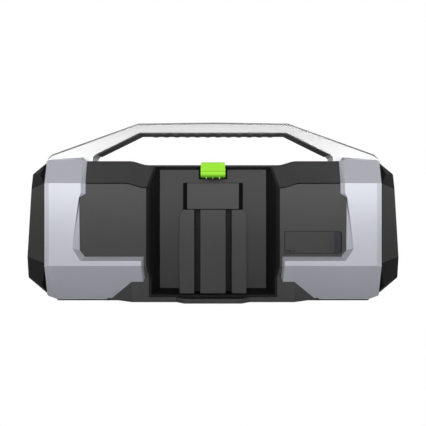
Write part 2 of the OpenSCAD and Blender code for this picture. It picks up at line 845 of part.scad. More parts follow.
module contact_cover() {
    half = head_width / 2;
    color([0.27, 0.27, 0.27]) box([-half, rail_y, rail_split + 0.6],
        [half, rail_y + 26, rail_top]);
}

blade_depth = 5;
module contact_blades() {
    color([0.8, 0.6, 0.3]) for (side = [-1, 1], k = [-1, 1])
        translate([side * groove_spacing / 2 + k * 1.4, 0, 0])
            box([-blade_thickness / 2, rail_y + groove_depth - blade_depth, rail_split - 22],
                [blade_thickness / 2, rail_y + groove_depth, rail_split - 4]);
}

// The latch seen from its end, in Y and Z
latch_drops = [[2.4, 16.4], [4.4, 17], [7.4, 14], [9, 7], [24.5, 5.4], [26.5, 4], [26.5, -2],
    [25.5, -2.8], [6.4, -2.8], [4.6, -1.6], [0.6, 7.6], [0, 9]];
latch_side = [for (p = latch_drops) [latch_front_y + p.x, dip_height - p.y]];
latch_low = min([for (p = latch_side) p.y]);
latch_high = max([for (p = latch_side) p.y]);
module latch_button() {
    half = latch_width / 2;
    color([0.6, 0.92, 0.25]) difference() {
        intersection() {
            along_x(-half, half) polygon(latch_side);
            along_y(latch_front_y - cut, latch_back_y + cut)
                rounded_outline(-half, latch_low, half, latch_high, latch_corner);
        }
        latch_pin_path(latch_pin_d / 2 + 0.05);
    }
}

module latch_pin() {
    color([0.7, 0.7, 0.72]) translate([0, latch_pin_y, latch_pin_z]) rotate([0, 90, 0])
        cylinder(d = latch_pin_d, h = 2 * latch_slot_x + 7, center = true);
}

// A wire of radius w wound at radius r along Z
module coil(r, w, height, turns, steps, sides) {
    loft([for (i = [0 : turns * steps])
        let (a = 360 * i / steps, z = w + (height - 2 * w) * i / (turns * steps))
        [for (k = [0 : sides - 1]) let (b = -360 * k / sides)
            [(r + w * cos(b)) * cos(a), (r + w * cos(b)) * sin(a), z + w * sin(b)]]]);
}
spring_top = dip_height - 5.7;
module latch_spring() {
    color([0.75, 0.75, 0.78])
        translate([0, bay_back_y - 4.4, latch_shelf_z + 0.1])
            coil(2.6, 0.4, spring_top - latch_shelf_z - 0.3, 5, 12, 6);
}

// A cover that swings out on its round left edge
module port_cover() {
    r = cover_thickness / 2;
    low = cover_low + fit;
    high = cover_high - fit;
    color([0.26, 0.26, 0.26]) difference() {
        union() {
            along_y(-panel_y, -panel_y + cover_thickness) intersection() {
                rounded_outline(cover_pin_x - 20, low, cover_end - fit, high, cover_corner);
                translate([cover_pin_x, 0]) square(far);
            }
            translate([cover_pin_x, cover_pin_y, low]) cylinder(r = r, h = high - low);
        }
        translate([cover_pin_x, cover_pin_y, 0]) cylinder(d = cover_pin_d + 0.1, h = far);
        // Finger scoop and grip ridges at the free edge
        box([cover_end - 9, -far, low + 3], [cover_end + cut, -panel_y + 1, high - 3]);
        for (i = [0 : 2]) box([cover_end - 14.6 + i * 1.8, -far, low + 3],
            [cover_end - 13.7 + i * 1.8, -panel_y + 0.6, high - 3]);
        rod_y(2.4, cover_start + 11, cover_low + 2.9, -far, -panel_y + 0.5);
    }
}

module port_hinge_pin() {
    color([0.7, 0.7, 0.72]) translate([cover_pin_x, cover_pin_y, cover_low - 2.6])
        cylinder(d = cover_pin_d, h = cover_height + 5.2);
}

// A tray behind the port cover that carries the sockets
tray_wall = 2;
tray_back_y = -panel_y + wall + 8;
tray_margin = 1.6;
socket_z = cover_middle;
usb_xs = [cover_start + 15, cover_start + 34];
usb_size = [14, 7];
socket_depth = 17;
socket_face_y = tray_back_y - tray_wall - 1;
aux_x = cover_start + 52;
aux_r = 4;
aux_bore_r = 1.8;
module port_panel() {
    x0 = cover_start - tray_margin;
    x1 = cover_end + tray_margin;
    z0 = cover_low - tray_margin;
    z1 = cover_high + tray_margin;
    color([0.14, 0.14, 0.14]) difference() {
        along_y(-panel_y + wall, tray_back_y) rounded_outline(x0 - tray_wall, z0 - tray_wall,
            x1 + tray_wall, z1 + tray_wall, cover_corner);
        along_y(-panel_y + wall - cut, tray_back_y - tray_wall)
            rounded_outline(x0, z0, x1, z1, cover_corner);
        for (x = usb_xs) box([x - usb_size.x / 2 - fit, -far, socket_z - usb_size.y / 2 - fit],
            [x + usb_size.x / 2 + fit, far, socket_z + usb_size.y / 2 + fit]);
        rod_y(aux_r + fit / 2, aux_x, socket_z, -far, far);
    }
}

// Two flanged metal sockets, each with its tongue
module usb_sockets() {
    face = socket_face_y;
    skin = 0.6;
    color([0.75, 0.75, 0.77]) for (x = usb_xs) {
        difference() {
            box([x - usb_size.x / 2, face, socket_z - usb_size.y / 2],
                [x + usb_size.x / 2, face + socket_depth, socket_z + usb_size.y / 2]);
            box([x - usb_size.x / 2 + skin, face - cut, socket_z - usb_size.y / 2 + skin],
                [x + usb_size.x / 2 - skin, face + socket_depth - 2,
                    socket_z + usb_size.y / 2 - skin]);
        }
        box([x - usb_size.x / 2 + 1.8, face + 3, socket_z + 0.1],
            [x + usb_size.x / 2 - 1.8, face + socket_depth - 2, socket_z + 1.9]);
    }
}

module aux_jack() {
    color([0.1, 0.1, 0.1]) difference() {
        rod_y(aux_r, aux_x, socket_z, socket_face_y, socket_face_y + socket_depth);
        rod_y(aux_bore_r, aux_x, socket_z, socket_face_y - cut,
            socket_face_y + socket_depth - 2);
    }
}

// The circuit board stands behind the bay on four posts
board_y = bay_back_y + plate_wall + 6;
board_low = bay_floor + 20.4;
board_high = bay_ceiling - 41.6;
board_half = bay_width / 2 - 20;
board_post = 6;
board_sheet = 1.6;
module amp_board() {
    color([0.05, 0.3, 0.15]) {
        along_y(board_y, board_y + board_sheet) square_at(-board_half, board_low,
            board_half, board_high);
        for (x = [-board_half + board_post, board_half - board_post],
                z = [board_low + board_post, board_high - board_post])
            rod_y(3, x, z, bay_back_y + plate_wall, board_y);
    }
}

module square_at(x0, z0, x1, z1) {
    translate([x0, z0]) square([x1 - x0, z1 - z0]);
}

board_face = board_y + board_sheet;
plug_z = board_low + 45;
plug_half = 3;
// Capacitors and coils: place, radius and height. Chips: left edge, low edge and size
capacitors = [for (i = [0 : 2]) [-board_half + 10 + 14 * i, board_high - 12, 5, 20]];
coils = [for (i = [0 : 1]) [board_half - 28 + 16 * i, board_low + 16, 6, 9]];
chips = [[-12, board_high - 36, 16, 16, 2.4], [24, board_high - 28, 24, 14, 3],
    [-board_half + 6, plug_z - plug_half, 12, 2 * plug_half, 7],
    [board_half - 18, plug_z - plug_half, 12, 2 * plug_half, 7]];
key_board_z = dip_height + panel_rim - panel_plate - 1.1 - button_travel - 1.9;
module board_parts() {
    color([0.15, 0.15, 0.2]) {
        for (p = concat(capacitors, coils)) rod_y(p[2], p.x, p.y, board_face, board_face + p[3]);
        for (c = chips) box([c[0], board_face, c[1]],
            [c[0] + c[2], board_face + c[4], c[1] + c[3]]);
        box([-8, board_y - 5, board_high - 12], [8, board_y, board_high - 6]);
        box([-panel_length / 2 + 8, panel_mid_y - 8, key_board_z],
            [panel_length / 2 - 8, panel_mid_y + 8, key_board_z + 1.2]);
    }
}

// A plate with upright fins between the coils and the capacitors
sink_low = board_low + 10;
sink_high = board_high - 46;
sink_x = -24;
fin_pitch = 6;
fin_count = 7;
fin_width = 2;
module heat_sink() {
    base = 3;
    last = sink_x + (fin_count - 1) * fin_pitch + fin_width;
    color([0.3, 0.3, 0.32]) {
        box([sink_x, board_face, sink_low], [last, board_face + base, sink_high]);
        for (i = [0 : fin_count - 1])
            box([sink_x + i * fin_pitch, board_face + base - 0.5, sink_low],
                [sink_x + i * fin_pitch + fin_width, board_face + 16, sink_high]);
    }
}

wire_bead = 0.25;
// A wire run: straight rods between the points with a ball at each turn
module wire_run(points, r) {
    for (i = [0 : len(points) - 2]) {
        run = points[i + 1] - points[i];
        translate(points[i]) rotate([0, acos(run.z / norm(run)), atan2(run.y, run.x)])
            cylinder(r = r, h = norm(run));
    }
    for (i = [1 : len(points) - 2]) translate(points[i]) sphere(r = r + wire_bead);
}

module wiring() {
    wire_y = board_face + 7.2;
    out_y = wire_y + 12;
    r = 1.2;
    woofer_plug_x = board_half - 12;
    tweeter_plug_x = woofer_plug_x - 4.4;
    color([0.7, 0.1, 0.1]) both_sides() {
        wire_run([[woofer_plug_x, wire_y, plug_z], [woofer_plug_x, out_y, plug_z],
            [woofer_offset, out_y, plug_z], [woofer_offset, woofer_back_y - 0.4, plug_z]], r);
        wire_run([[tweeter_plug_x, wire_y, plug_z], [tweeter_plug_x, out_y + 24, plug_z],
            [tweeter_offset, out_y + 42, tweeter_height],
            [tweeter_offset, baffle_y - tweeter_back - 0.4, tweeter_height]], r);
    }
}

// Woofer sizes in its own frame: z is 0 on the driver wall and points to the grille
woofer_flange = 3;
woofer_depth = 42;
magnet_r = 30;
magnet_height = 16;
cone_r = woofer_cut_r - 4 - 2 * woofer_travel;
neck_r = 12;
woofer_back_y = baffle_y - woofer_depth;
module facing_grille(x, z) {
    translate([x, baffle_y, z]) rotate([-90, 0, 0]) children();
}
module ring(r_in, r_out, z0, z1) {
    translate([0, 0, z0]) difference() {
        cylinder(r = r_out, h = z1 - z0);
        translate([0, 0, -cut]) cylinder(r = r_in, h = z1 - z0 + 2 * cut);
    }
}

module woofer_basket_form() {
    plate_z = magnet_height - woofer_depth;
    rim = woofer_cut_r - 0.4;
    difference() {
        union() {
            ring(rim - 1.6, woofer_r, 0, woofer_flange);
            rotate_extrude() polygon([[rim - 1.6, 0], [rim, 0], [rim, -6], [magnet_r - 2,
                plate_z + 3], [magnet_r - 2, plate_z], [14.5, plate_z], [14.5, plate_z + 3],
                [magnet_r - 5, plate_z + 3], [rim - 1.6, -6]]);
        }
        for (a = [0 : 60 : 300]) rotate([0, 0, a])
            translate([neck_r + 6, -6, plate_z + 4.5]) cube([woofer_r, 12, -plate_z - 11]);
        for (a = [45 : 90 : 315]) rotate([0, 0, a]) translate([woofer_r - 3, 0, -cut])
            cylinder(r = driver_screw_r + 0.25, h = woofer_flange + 2 * cut);
    }
}

module woofer_magnet_form() {
    base = -woofer_depth;
    difference() {
        translate([0, 0, base]) cylinder(r = magnet_r, h = magnet_height);
        ring(10.6, 13.8, base + 4, magnet_height + base + cut);
        translate([0, 0, base - cut]) cylinder(r = 3, h = magnet_height + 2 * cut);
    }
}

module woofer_cone_form() {
    lip_z = 1.2;
    neck_z = -14;
    skin = 0.9;
    rotate_extrude() polygon([[neck_r, neck_z], [cone_r, lip_z], [cone_r, lip_z + skin],
        [neck_r, neck_z + skin * 1.6]]);
    rotate_extrude() polygon(concat([for (a = [0 : 15 : 90])
        [neck_r * cos(a), neck_z + 1 + 6 * sin(a)]], [[0, neck_z + 6],
        [neck_r - 1, neck_z + 0.6]]));
    ring(11.6, 12.4, neck_z - 20, neck_z + 1);
}

module woofer_surround_form() {
    inner = cone_r + 0.3;
    outer = woofer_cut_r - 2.4;
    mid = (inner + outer) / 2;
    roll = (outer - inner) / 2;
    rotate_extrude() difference() {
        translate([mid, 1.6]) circle(roll, $fn = 32);
        translate([mid, 1.6]) circle(roll - 0.5, $fn = 32);
        translate([0, 1.6 - 2 * roll]) square([far, 2 * roll]);
    }
}

module left_woofer_basket() {
    color([0.2, 0.2, 0.2]) facing_grille(-woofer_offset, woofer_height) woofer_basket_form();
}
module right_woofer_basket() {
    color([0.2, 0.2, 0.2]) facing_grille(woofer_offset, woofer_height) woofer_basket_form();
}
module left_woofer_magnet() {
    color([0.35, 0.35, 0.36]) facing_grille(-woofer_offset, woofer_height) woofer_magnet_form();
}
module right_woofer_magnet() {
    color([0.35, 0.35, 0.36]) facing_grille(woofer_offset, woofer_height) woofer_magnet_form();
}
module left_woofer_surround() {
    color([0.08, 0.08, 0.08]) facing_grille(-woofer_offset, woofer_height) woofer_surround_form();
}
module right_woofer_surround() {
    color([0.08, 0.08, 0.08]) facing_grille(woofer_offset, woofer_height) woofer_surround_form();
}
module left_woofer_cone() {
    color([0.15, 0.15, 0.16]) facing_grille(-woofer_offset, woofer_height) woofer_cone_form();
}
module right_woofer_cone() {
    color([0.15, 0.15, 0.16]) facing_grille(woofer_offset, woofer_height) woofer_cone_form();
}

dome_r = 9;
tweeter_flange = 2.5;
tweeter_back = 12;
module tweeter_frame_form() {
    difference() {
        union() {
            cylinder(r = tweeter_r, h = tweeter_flange);
            translate([0, 0, -tweeter_back]) cylinder(r = tweeter_cut_r - 0.4, h = tweeter_back);
        }
        translate([0, 0, -8]) cylinder(r = dome_r + 0.4, h = 12);
        for (a = [90, 270]) rotate([0, 0, a]) translate([tweeter_r - 2.1, 0, -cut])
            cylinder(r = driver_screw_r + 0.2, h = 5);
    }
}
module tweeter_dome_form() {
    skin = 0.6;
    r = (dome_r * dome_r + 16) / 8;
    difference() {
        intersection() {
            translate([0, 0, 4 - r]) sphere(r);
            translate([0, 0, -1]) cylinder(r = dome_r, h = 6);
        }
        intersection() {
            translate([0, 0, 4 - r]) sphere(r - skin);
            translate([0, 0, -2]) cylinder(r = dome_r - skin, h = 7);
        }
    }
    ring(dome_r - skin, dome_r, -7, 0.1);
}
module left_tweeter_frame() {
    color([0.12, 0.12, 0.12]) facing_grille(-tweeter_offset, tweeter_height)
        tweeter_frame_form();
}
module right_tweeter_frame() {
    color([0.12, 0.12, 0.12]) facing_grille(tweeter_offset, tweeter_height)
        tweeter_frame_form();
}
module left_tweeter_dome() {
    color([0.7, 0.7, 0.72]) facing_grille(-tweeter_offset, tweeter_height) tweeter_dome_form();
}
module right_tweeter_dome() {
    color([0.7, 0.7, 0.72]) facing_grille(tweeter_offset, tweeter_height) tweeter_dome_form();
}

// Passive radiator in the right end cap: z is 0 on its seat and points outwards
module facing_end() {
    translate([radiator_seat, 0, radiator_z]) rotate([0, 90, 0]) children();
}
frame_out = radiator_hole / 2 - 0.2;
frame_in = radiator_hole / 2 - 3.4;
plate_r = frame_in - 1.4 - 2 * radiator_travel;
module right_radiator_frame() {
    color([0.1, 0.1, 0.1]) facing_end() ring(frame_in, frame_out, 0, 4);
}
module left_radiator_frame() {
    color([0.1, 0.1, 0.1]) mirror([1, 0, 0]) facing_end() ring(frame_in, frame_out, 0, 4);
}
module radiator_surround_form() {
    inner = plate_r + 0.3;
    outer = frame_in - 0.3;
    mid = (inner + outer) / 2;
    roll = (outer - inner) / 2;
    rotate_extrude() difference() {
        translate([mid, 0.6]) circle(roll, $fn = 32);
        translate([mid, 0.6]) circle(roll - 0.8, $fn = 32);
        translate([0, 0.6 - 2 * roll]) square([far, 2 * roll]);
    }
}
module right_radiator_surround() {
    color([0.06, 0.06, 0.06]) facing_end() radiator_surround_form();
}
module left_radiator_surround() {
    color([0.06, 0.06, 0.06]) mirror([1, 0, 0]) facing_end() radiator_surround_form();
}
module radiator_plate_form() {
    difference() {
        cylinder(r = plate_r, h = 2.4);
        translate([0, 0, 1.6]) cylinder(r = plate_r - 3, h = 2);
    }
}
module right_radiator_plate() {
    color([0.55, 0.56, 0.58]) facing_end() radiator_plate_form();
}
module left_radiator_plate() {
    color([0.55, 0.56, 0.58]) mirror([1, 0, 0]) facing_end() radiator_plate_form();
}

// Buttons in a row, from the left: power, wireless, play, softer, louder
function button_x(i) = (i - 2) * button_pitch;
button_rise = button_travel + 0.2;
button_flange = 1;
module control_panel() {
    low_y = panel_mid_y - panel_depth / 2;
    high_y = panel_mid_y + panel_depth / 2;
    half = panel_length / 2;
    floor_z = dip_height - pocket_depth;
    rim = 1.6;
    color([0.12, 0.12, 0.12]) difference() {
        union() {
            box([-half, low_y, floor_z], [half, high_y, panel_top]);
            box([-half - 2, low_y - 2, dip_height + 0.1], [half + 2, high_y + 2, panel_top]);
        }
        box([-half + rim, low_y + rim, floor_z + panel_plate],
            [half - rim, high_y - rim, panel_top - panel_plate]);
        for (i = [0 : 4]) translate([button_x(i), panel_mid_y, panel_top - panel_plate - cut])
            cylinder(d = button_d + 0.6, h = panel_plate + 2 * cut);
        box([-light_half - 0.1, light_y - light_depth - 0.1, panel_top - panel_plate - cut],
            [light_half + 0.1, light_y + 0.1, panel_top + cut]);
    }
}
light_half = 9;
light_y = panel_mid_y + 14;
light_depth = 3;
module status_light() {
    color([0.7, 0.9, 1]) box([-light_half, light_y - light_depth, panel_top - panel_plate - 0.6],
        [light_half, light_y, panel_top + 0.2]);
}

module button(i) {
    color([0.2, 0.2, 0.2]) translate([button_x(i), panel_mid_y, 0]) {
        translate([0, 0, panel_top - panel_plate - button_flange - 0.1])
            cylinder(d = button_d + 2.4, h = button_flange);
        translate([0, 0, panel_top - panel_plate - button_flange])
            cylinder(d = button_d, h = panel_plate + button_flange + button_rise);
    }
}
module power_button() {
    button(0);
}
module pairing_button() {
    button(1);
}
module play_button() {
    button(2);
}
module volume_down_button() {
    button(3);
}
module volume_up_button() {
    button(4);
}

foot_start = 101;
foot_inset = 4.5;
module feet() {
    color([0.06, 0.06, 0.06]) both_sides() for (side = [0, 1]) mirror([0, side, 0])
        box([foot_start, -floor_y + foot_inset, 0],
            [foot_start + foot_length, -floor_y + foot_inset + foot_width, skirt_height]);
}

module case_screws() {
    color([0.5, 0.5, 0.52]) both_sides() for (p = case_lugs) {
        rod_y(case_screw_r, p.x, p.y, -lug_reach + 1, lug_reach);
        rod_y(3, p.x, p.y, lug_reach, lug_reach + 2.4);
    }
}

module guard_screws() {
    color([0.5, 0.5, 0.52]) both_sides() for (side = [0, 1]) mirror([0, side, 0])
        for (x = guard_screw_xs) translate([x, guard_screw_y, skirt_height]) {
            cylinder(r = guard_screw_head_r, h = guard_screw_head);
            cylinder(r = guard_screw_r, h = guard_screw_length);
        }
}

module driver_screws() {
    color([0.5, 0.5, 0.52]) {
        driver_screw_paths(driver_screw_r, baffle_y - 6, baffle_y + woofer_flange);
        both_sides() {
            for (a = [45 : 90 : 315])
                rod_y(2.4, woofer_offset + (woofer_r - 3) * cos(a), woofer_height
                    + (woofer_r - 3) * sin(a), baffle_y + woofer_flange,
                    baffle_y + woofer_flange + 1.2);
            for (a = [90, 270])
                rod_y(2, tweeter_offset, tweeter_height + (tweeter_r - 2.1) * sin(a),
                    baffle_y + tweeter_flange, baffle_y + woofer_flange + 1);
        }
    }
}

rear_shell();
front_shell();
case_seal();
front_grille();
left_guard_rear();
right_guard_rear();
left_guard_front();
right_guard_front();
handle_bar();
handle_grip();
handle_bolts();
left_end_cap();
right_end_cap();
left_radiator_frame();
right_radiator_frame();
left_radiator_surround();
right_radiator_surround();
left_radiator_plate();
right_radiator_plate();
battery_bay();
rail_block();
contact_holder();
contact_cover();
contact_blades();
latch_button();
latch_pin();
latch_spring();
port_cover();
port_hinge_pin();
port_panel();
usb_sockets();
aux_jack();
amp_board();
heat_sink();
board_parts();
wiring();
left_woofer_basket();
right_woofer_basket();
left_woofer_magnet();
right_woofer_magnet();
left_woofer_surround();
right_woofer_surround();
left_woofer_cone();
right_woofer_cone();
left_tweeter_frame();
right_tweeter_frame();
left_tweeter_dome();
right_tweeter_dome();
control_panel();
power_button();
pairing_button();
play_button();
volume_up_button();
volume_down_button();
status_light();
feet();
case_screws();
guard_screws();
driver_screws();
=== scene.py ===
"""Looks of a portable outdoor speaker: finishes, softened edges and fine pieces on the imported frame."""

from __future__ import annotations

import logging
import math
from dataclasses import dataclass
from enum import Enum

import bmesh
import bpy
import numpy as np
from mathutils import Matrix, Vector


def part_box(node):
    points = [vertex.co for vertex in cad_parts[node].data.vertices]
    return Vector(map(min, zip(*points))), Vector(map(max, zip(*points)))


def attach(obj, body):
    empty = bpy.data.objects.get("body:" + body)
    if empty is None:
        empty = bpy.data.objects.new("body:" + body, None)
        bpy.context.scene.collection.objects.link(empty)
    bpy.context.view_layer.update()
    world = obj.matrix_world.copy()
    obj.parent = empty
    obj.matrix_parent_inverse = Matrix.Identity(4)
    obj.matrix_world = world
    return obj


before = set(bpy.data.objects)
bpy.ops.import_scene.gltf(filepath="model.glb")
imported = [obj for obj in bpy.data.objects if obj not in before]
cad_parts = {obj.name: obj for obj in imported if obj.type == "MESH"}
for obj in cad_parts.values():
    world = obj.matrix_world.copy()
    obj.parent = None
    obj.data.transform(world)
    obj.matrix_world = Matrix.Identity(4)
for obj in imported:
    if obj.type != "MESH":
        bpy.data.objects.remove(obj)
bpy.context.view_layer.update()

LOG = logging.getLogger("speaker")
logging.basicConfig(level=logging.INFO, format="%(message)s")

MM = 0.001
FULL_TURN = 2 * math.pi
UP = np.array([0.0, 0.0, 1.0])
TO_FRONT = np.array([0.0, -1.0, 0.0])
TO_BACK = np.array([0.0, 1.0, 0.0])

# CAD nodes: points closer than WELD_GAP are joined, faces flatter than FLAT_ANGLE are merged, and
# FACE_WEIGHT is how much the larger faces count in the shading of a softened edge.
WELD_GAP = 0.01 * MM
FLAT_ANGLE = math.radians(0.5)
FACE_WEIGHT = 80

# New pieces: the smallest cosine of half a turn that a bend is stretched for, the share that a bar's
# corners are cut by, and the angle below which faces are shaded smooth.
LEAST_COSINE = 0.4
CHAMFER = 0.35
SMOOTH_ANGLE = math.radians(40)

# Rays per point with which the worn edges are found.
EDGE_SAMPLES = 4

Colour = tuple[float, float, float, float]
Socket = bpy.types.NodeSocket
Shell = tuple[np.ndarray, list[list[int]]]


class Side(Enum):
    """The two ends of the speaker, seen from the battery side."""

    LEFT = "left"
    RIGHT = "right"


class Shade(Enum):
    """Base colours as they look on screen, from 0 to 255."""

    CASE = (80, 80, 81)
    BLOCK = (72, 72, 72)
    BAY = (72, 72, 72)
    # painted shade of the bay's side walls and floor
    BAY_WALL_SHADE = (32, 32, 32)
    CAP_PANEL = (64, 64, 63)
    CAP_RUBBER = (15, 15, 17)
    GUARD = (217, 219, 229)
    HANDLE = (246, 246, 246)
    # painted shade on the handle's top slopes
    CROWN = (118, 118, 120)
    GRIP = (40, 40, 41)
    # painted light: the grip's dark rubber made paler, as if lit from below
    GRIP_PAINTED_LIGHT = (108, 108, 109)
    JET = (7, 7, 7)
    # painted shade of the port cover's finger dish
    DISH_SHADE = (66, 66, 70)
    BLACK = (22, 22, 22)
    LATCH = (158, 231, 64)
    # painted shade on the latch's lower lip
    LATCH_LIP_SHADE = (56, 122, 0)
    # painted glint: the latch's nubs are near white
    NUB_GLINT = (214, 240, 180)
    STEEL = (176, 177, 180)
    # painted shadow: the contact blades are near black, not bare metal
    BLADE_SHADOW = (13, 13, 14)
    SOCKET = (104, 105, 108)
    SINK = (120, 121, 124)
    GRILLE = (36, 36, 38)
    CONE = (48, 48, 50)
    FERRITE = (62, 62, 64)
    ALUMINIUM = (172, 174, 178)
    BOARD = (20, 78, 46)
    TRACE = (44, 118, 74)
    PARTS = (34, 34, 38)
    WIRE = (150, 34, 30)
    LENS = (196, 214, 222)
    # painted shadow: crease lines, screw recesses, and the cover's slit and dimple rim
    SEAM = (8, 8, 9)
    ICON = (212, 214, 216)
    FLOOR = (150, 150, 150)

    def linear(self, gain: float = 1.0) -> Colour:
        """The colour for a shader, worked out with the screen's own tone curve.

        Up to 0.04045 a level is divided by 12.92. Above it, the level plus 0.055 is divided by
        1.055 and raised to the power 2.4.

        Args:
            gain: factor on the linear value.
        Returns:
            Linear red, green, blue and alpha.
        """
        level = np.array(self.value) / 255
        level = np.where(level <= 0.04045, level / 12.92, ((level + 0.055) / 1.055) ** 2.4)
        return (*(float(c) for c in np.minimum(level * gain, 1.0)), 1.0)


class Mark(Enum):
    """The generic signs on the keys, each with its key's node."""

    POWER = "power_button"
    WAVES = "pairing_button"
    PLAY = "play_button"
    MINUS = "volume_down_button"
    PLUS = "volume_up_button"


class Mix(Enum):
    """What a Mix node blends: its data type, the places of its inputs, and that of its output."""

    NUMBERS = ("FLOAT", (0, 2, 3), 0)
    COLOURS = ("RGBA", (0, 6, 7), 2)


class Wiring:
    """Small helper that adds nodes to a tree and joins them.

    Attributes:
        tree: the node tree it works in.
    """

    def __init__(self, tree: bpy.types.NodeTree) -> None:
        """Keeps the tree."""
        self.tree = tree

    def put(self, node: bpy.types.Node, label: str | int, value: object) -> None:
        """Sets one input to a value, or joins it to an output socket.

        Args:
            node: the node.
            label: name or number of its input.
            value: a plain value or an output socket.
        """
        if isinstance(value, Socket):
            self.tree.links.new(value, node.inputs[label])
        else:
            node.inputs[label].default_value = value

    def fill(self, node: bpy.types.Node, inputs: dict[str, object]) -> bpy.types.Node:
        """Sets or joins several inputs of a node.

        Args:
            node: the node.
            inputs: socket name, with spaces as underscores, to a value or an output socket.
        Returns:
            The same node.
        """
        for label, value in inputs.items():
            self.put(node, label.replace("_", " "), value)
        return node

    def add(self, kind: str, **inputs: object) -> bpy.types.Node:
        """Adds a node, named by its type after ShaderNode, and fills its inputs."""
        return self.fill(self.tree.nodes.new("ShaderNode" + kind), inputs)

    def use(self, group: bpy.types.NodeTree, **inputs: object) -> bpy.types.Node:
        """Adds a shared group and fills its inputs.

        Args:
            group: the group.
            inputs: as in fill.
        Returns:
            The new node.
        """
        node = self.add("Group")
        node.node_tree = group
        return self.fill(node, inputs)

    def math(self, operation: str, *values: object) -> Socket:
        """Adds a Math node.

        Args:
            operation: its operation.
            values: its inputs in order, numbers or sockets.
        Returns:
            Its output socket.
        """
        node = self.add("Math")
        node.operation = operation
        for place, value in enumerate(values):
            self.put(node, place, value)
        return node.outputs[0]

    def above(self, value: object, limit: object) -> Socket:
        """1 where value is greater than limit, 0 elsewhere."""
        return self.math("GREATER_THAN", value, limit)

    def below(self, value: object, limit: object) -> Socket:
        """1 where value is less than limit, 0 elsewhere."""
        return self.math("LESS_THAN", value, limit)

    def near(self, value: object, middle: float, half: float) -> Socket:
        """1 where value is less than half away from middle, 0 elsewhere."""
        return self.below(self.math("ABSOLUTE", self.math("SUBTRACT", value, middle)), half)

    def both(self, first: object, second: object) -> Socket:
        """The product of two masks: 1 where both are 1."""
        return self.math("MULTIPLY", first, second)

    def blend(self, share: object, first: object, second: object, mix: Mix = Mix.COLOURS) -> Socket:
        """Mixes two colours or numbers.

        Args:
            share: 0 for the first, 1 for the second.
            first: a value or a socket.
            second: a value or a socket.
            mix: whether they are colours or numbers.
        Returns:
            The mixed value's socket.
        """
        kind, places, result = mix.value
        node = self.add("Mix")
        node.data_type = kind
        for place, value in zip(places, (share, first, second)):
            self.put(node, place, value)
        return node.outputs[result]

    def place(self) -> Socket:
        """The place on the piece, in metres."""
        return self.add("TexCoord").outputs["Object"]

    def split(self, vector: Socket) -> tuple[Socket, ...]:
        """The parts of a vector along X, Y and Z."""
        parts = self.add("SeparateXYZ", Vector=vector)
        return tuple(parts.outputs[axis] for axis in "XYZ")

    def axes(self) -> tuple[Socket, ...]:
        """The place on the piece along X, Y and Z."""
        return self.split(self.place())

    def facing(self) -> tuple[Socket, ...]:
        """The direction that the surface faces, along X, Y and Z."""
        return self.split(self.add("TexCoord").outputs["Normal"])


def shared_group(name: str, inputs: dict[str, float], *outputs: str) -> tuple[
        bpy.types.NodeTree, bpy.types.Node, bpy.types.Node]:
    """Makes an empty shader node group whose inputs and outputs are numbers.

    Args:
        name: name of the group.
        inputs: socket name to its default value.
        outputs: names of the output sockets.
    Returns:
        The group, its Group Input node and its Group Output node.
    """
    number = "NodeSocketFloat"
    tree = bpy.data.node_groups.new(name, "ShaderNodeTree")
    for label, default in inputs.items():
        tree.interface.new_socket(label, in_out="INPUT", socket_type=number).default_value = default
    for label in outputs:
        tree.interface.new_socket(label, in_out="OUTPUT", socket_type=number)
    return tree, tree.nodes.new("NodeGroupInput"), tree.nodes.new("NodeGroupOutput")


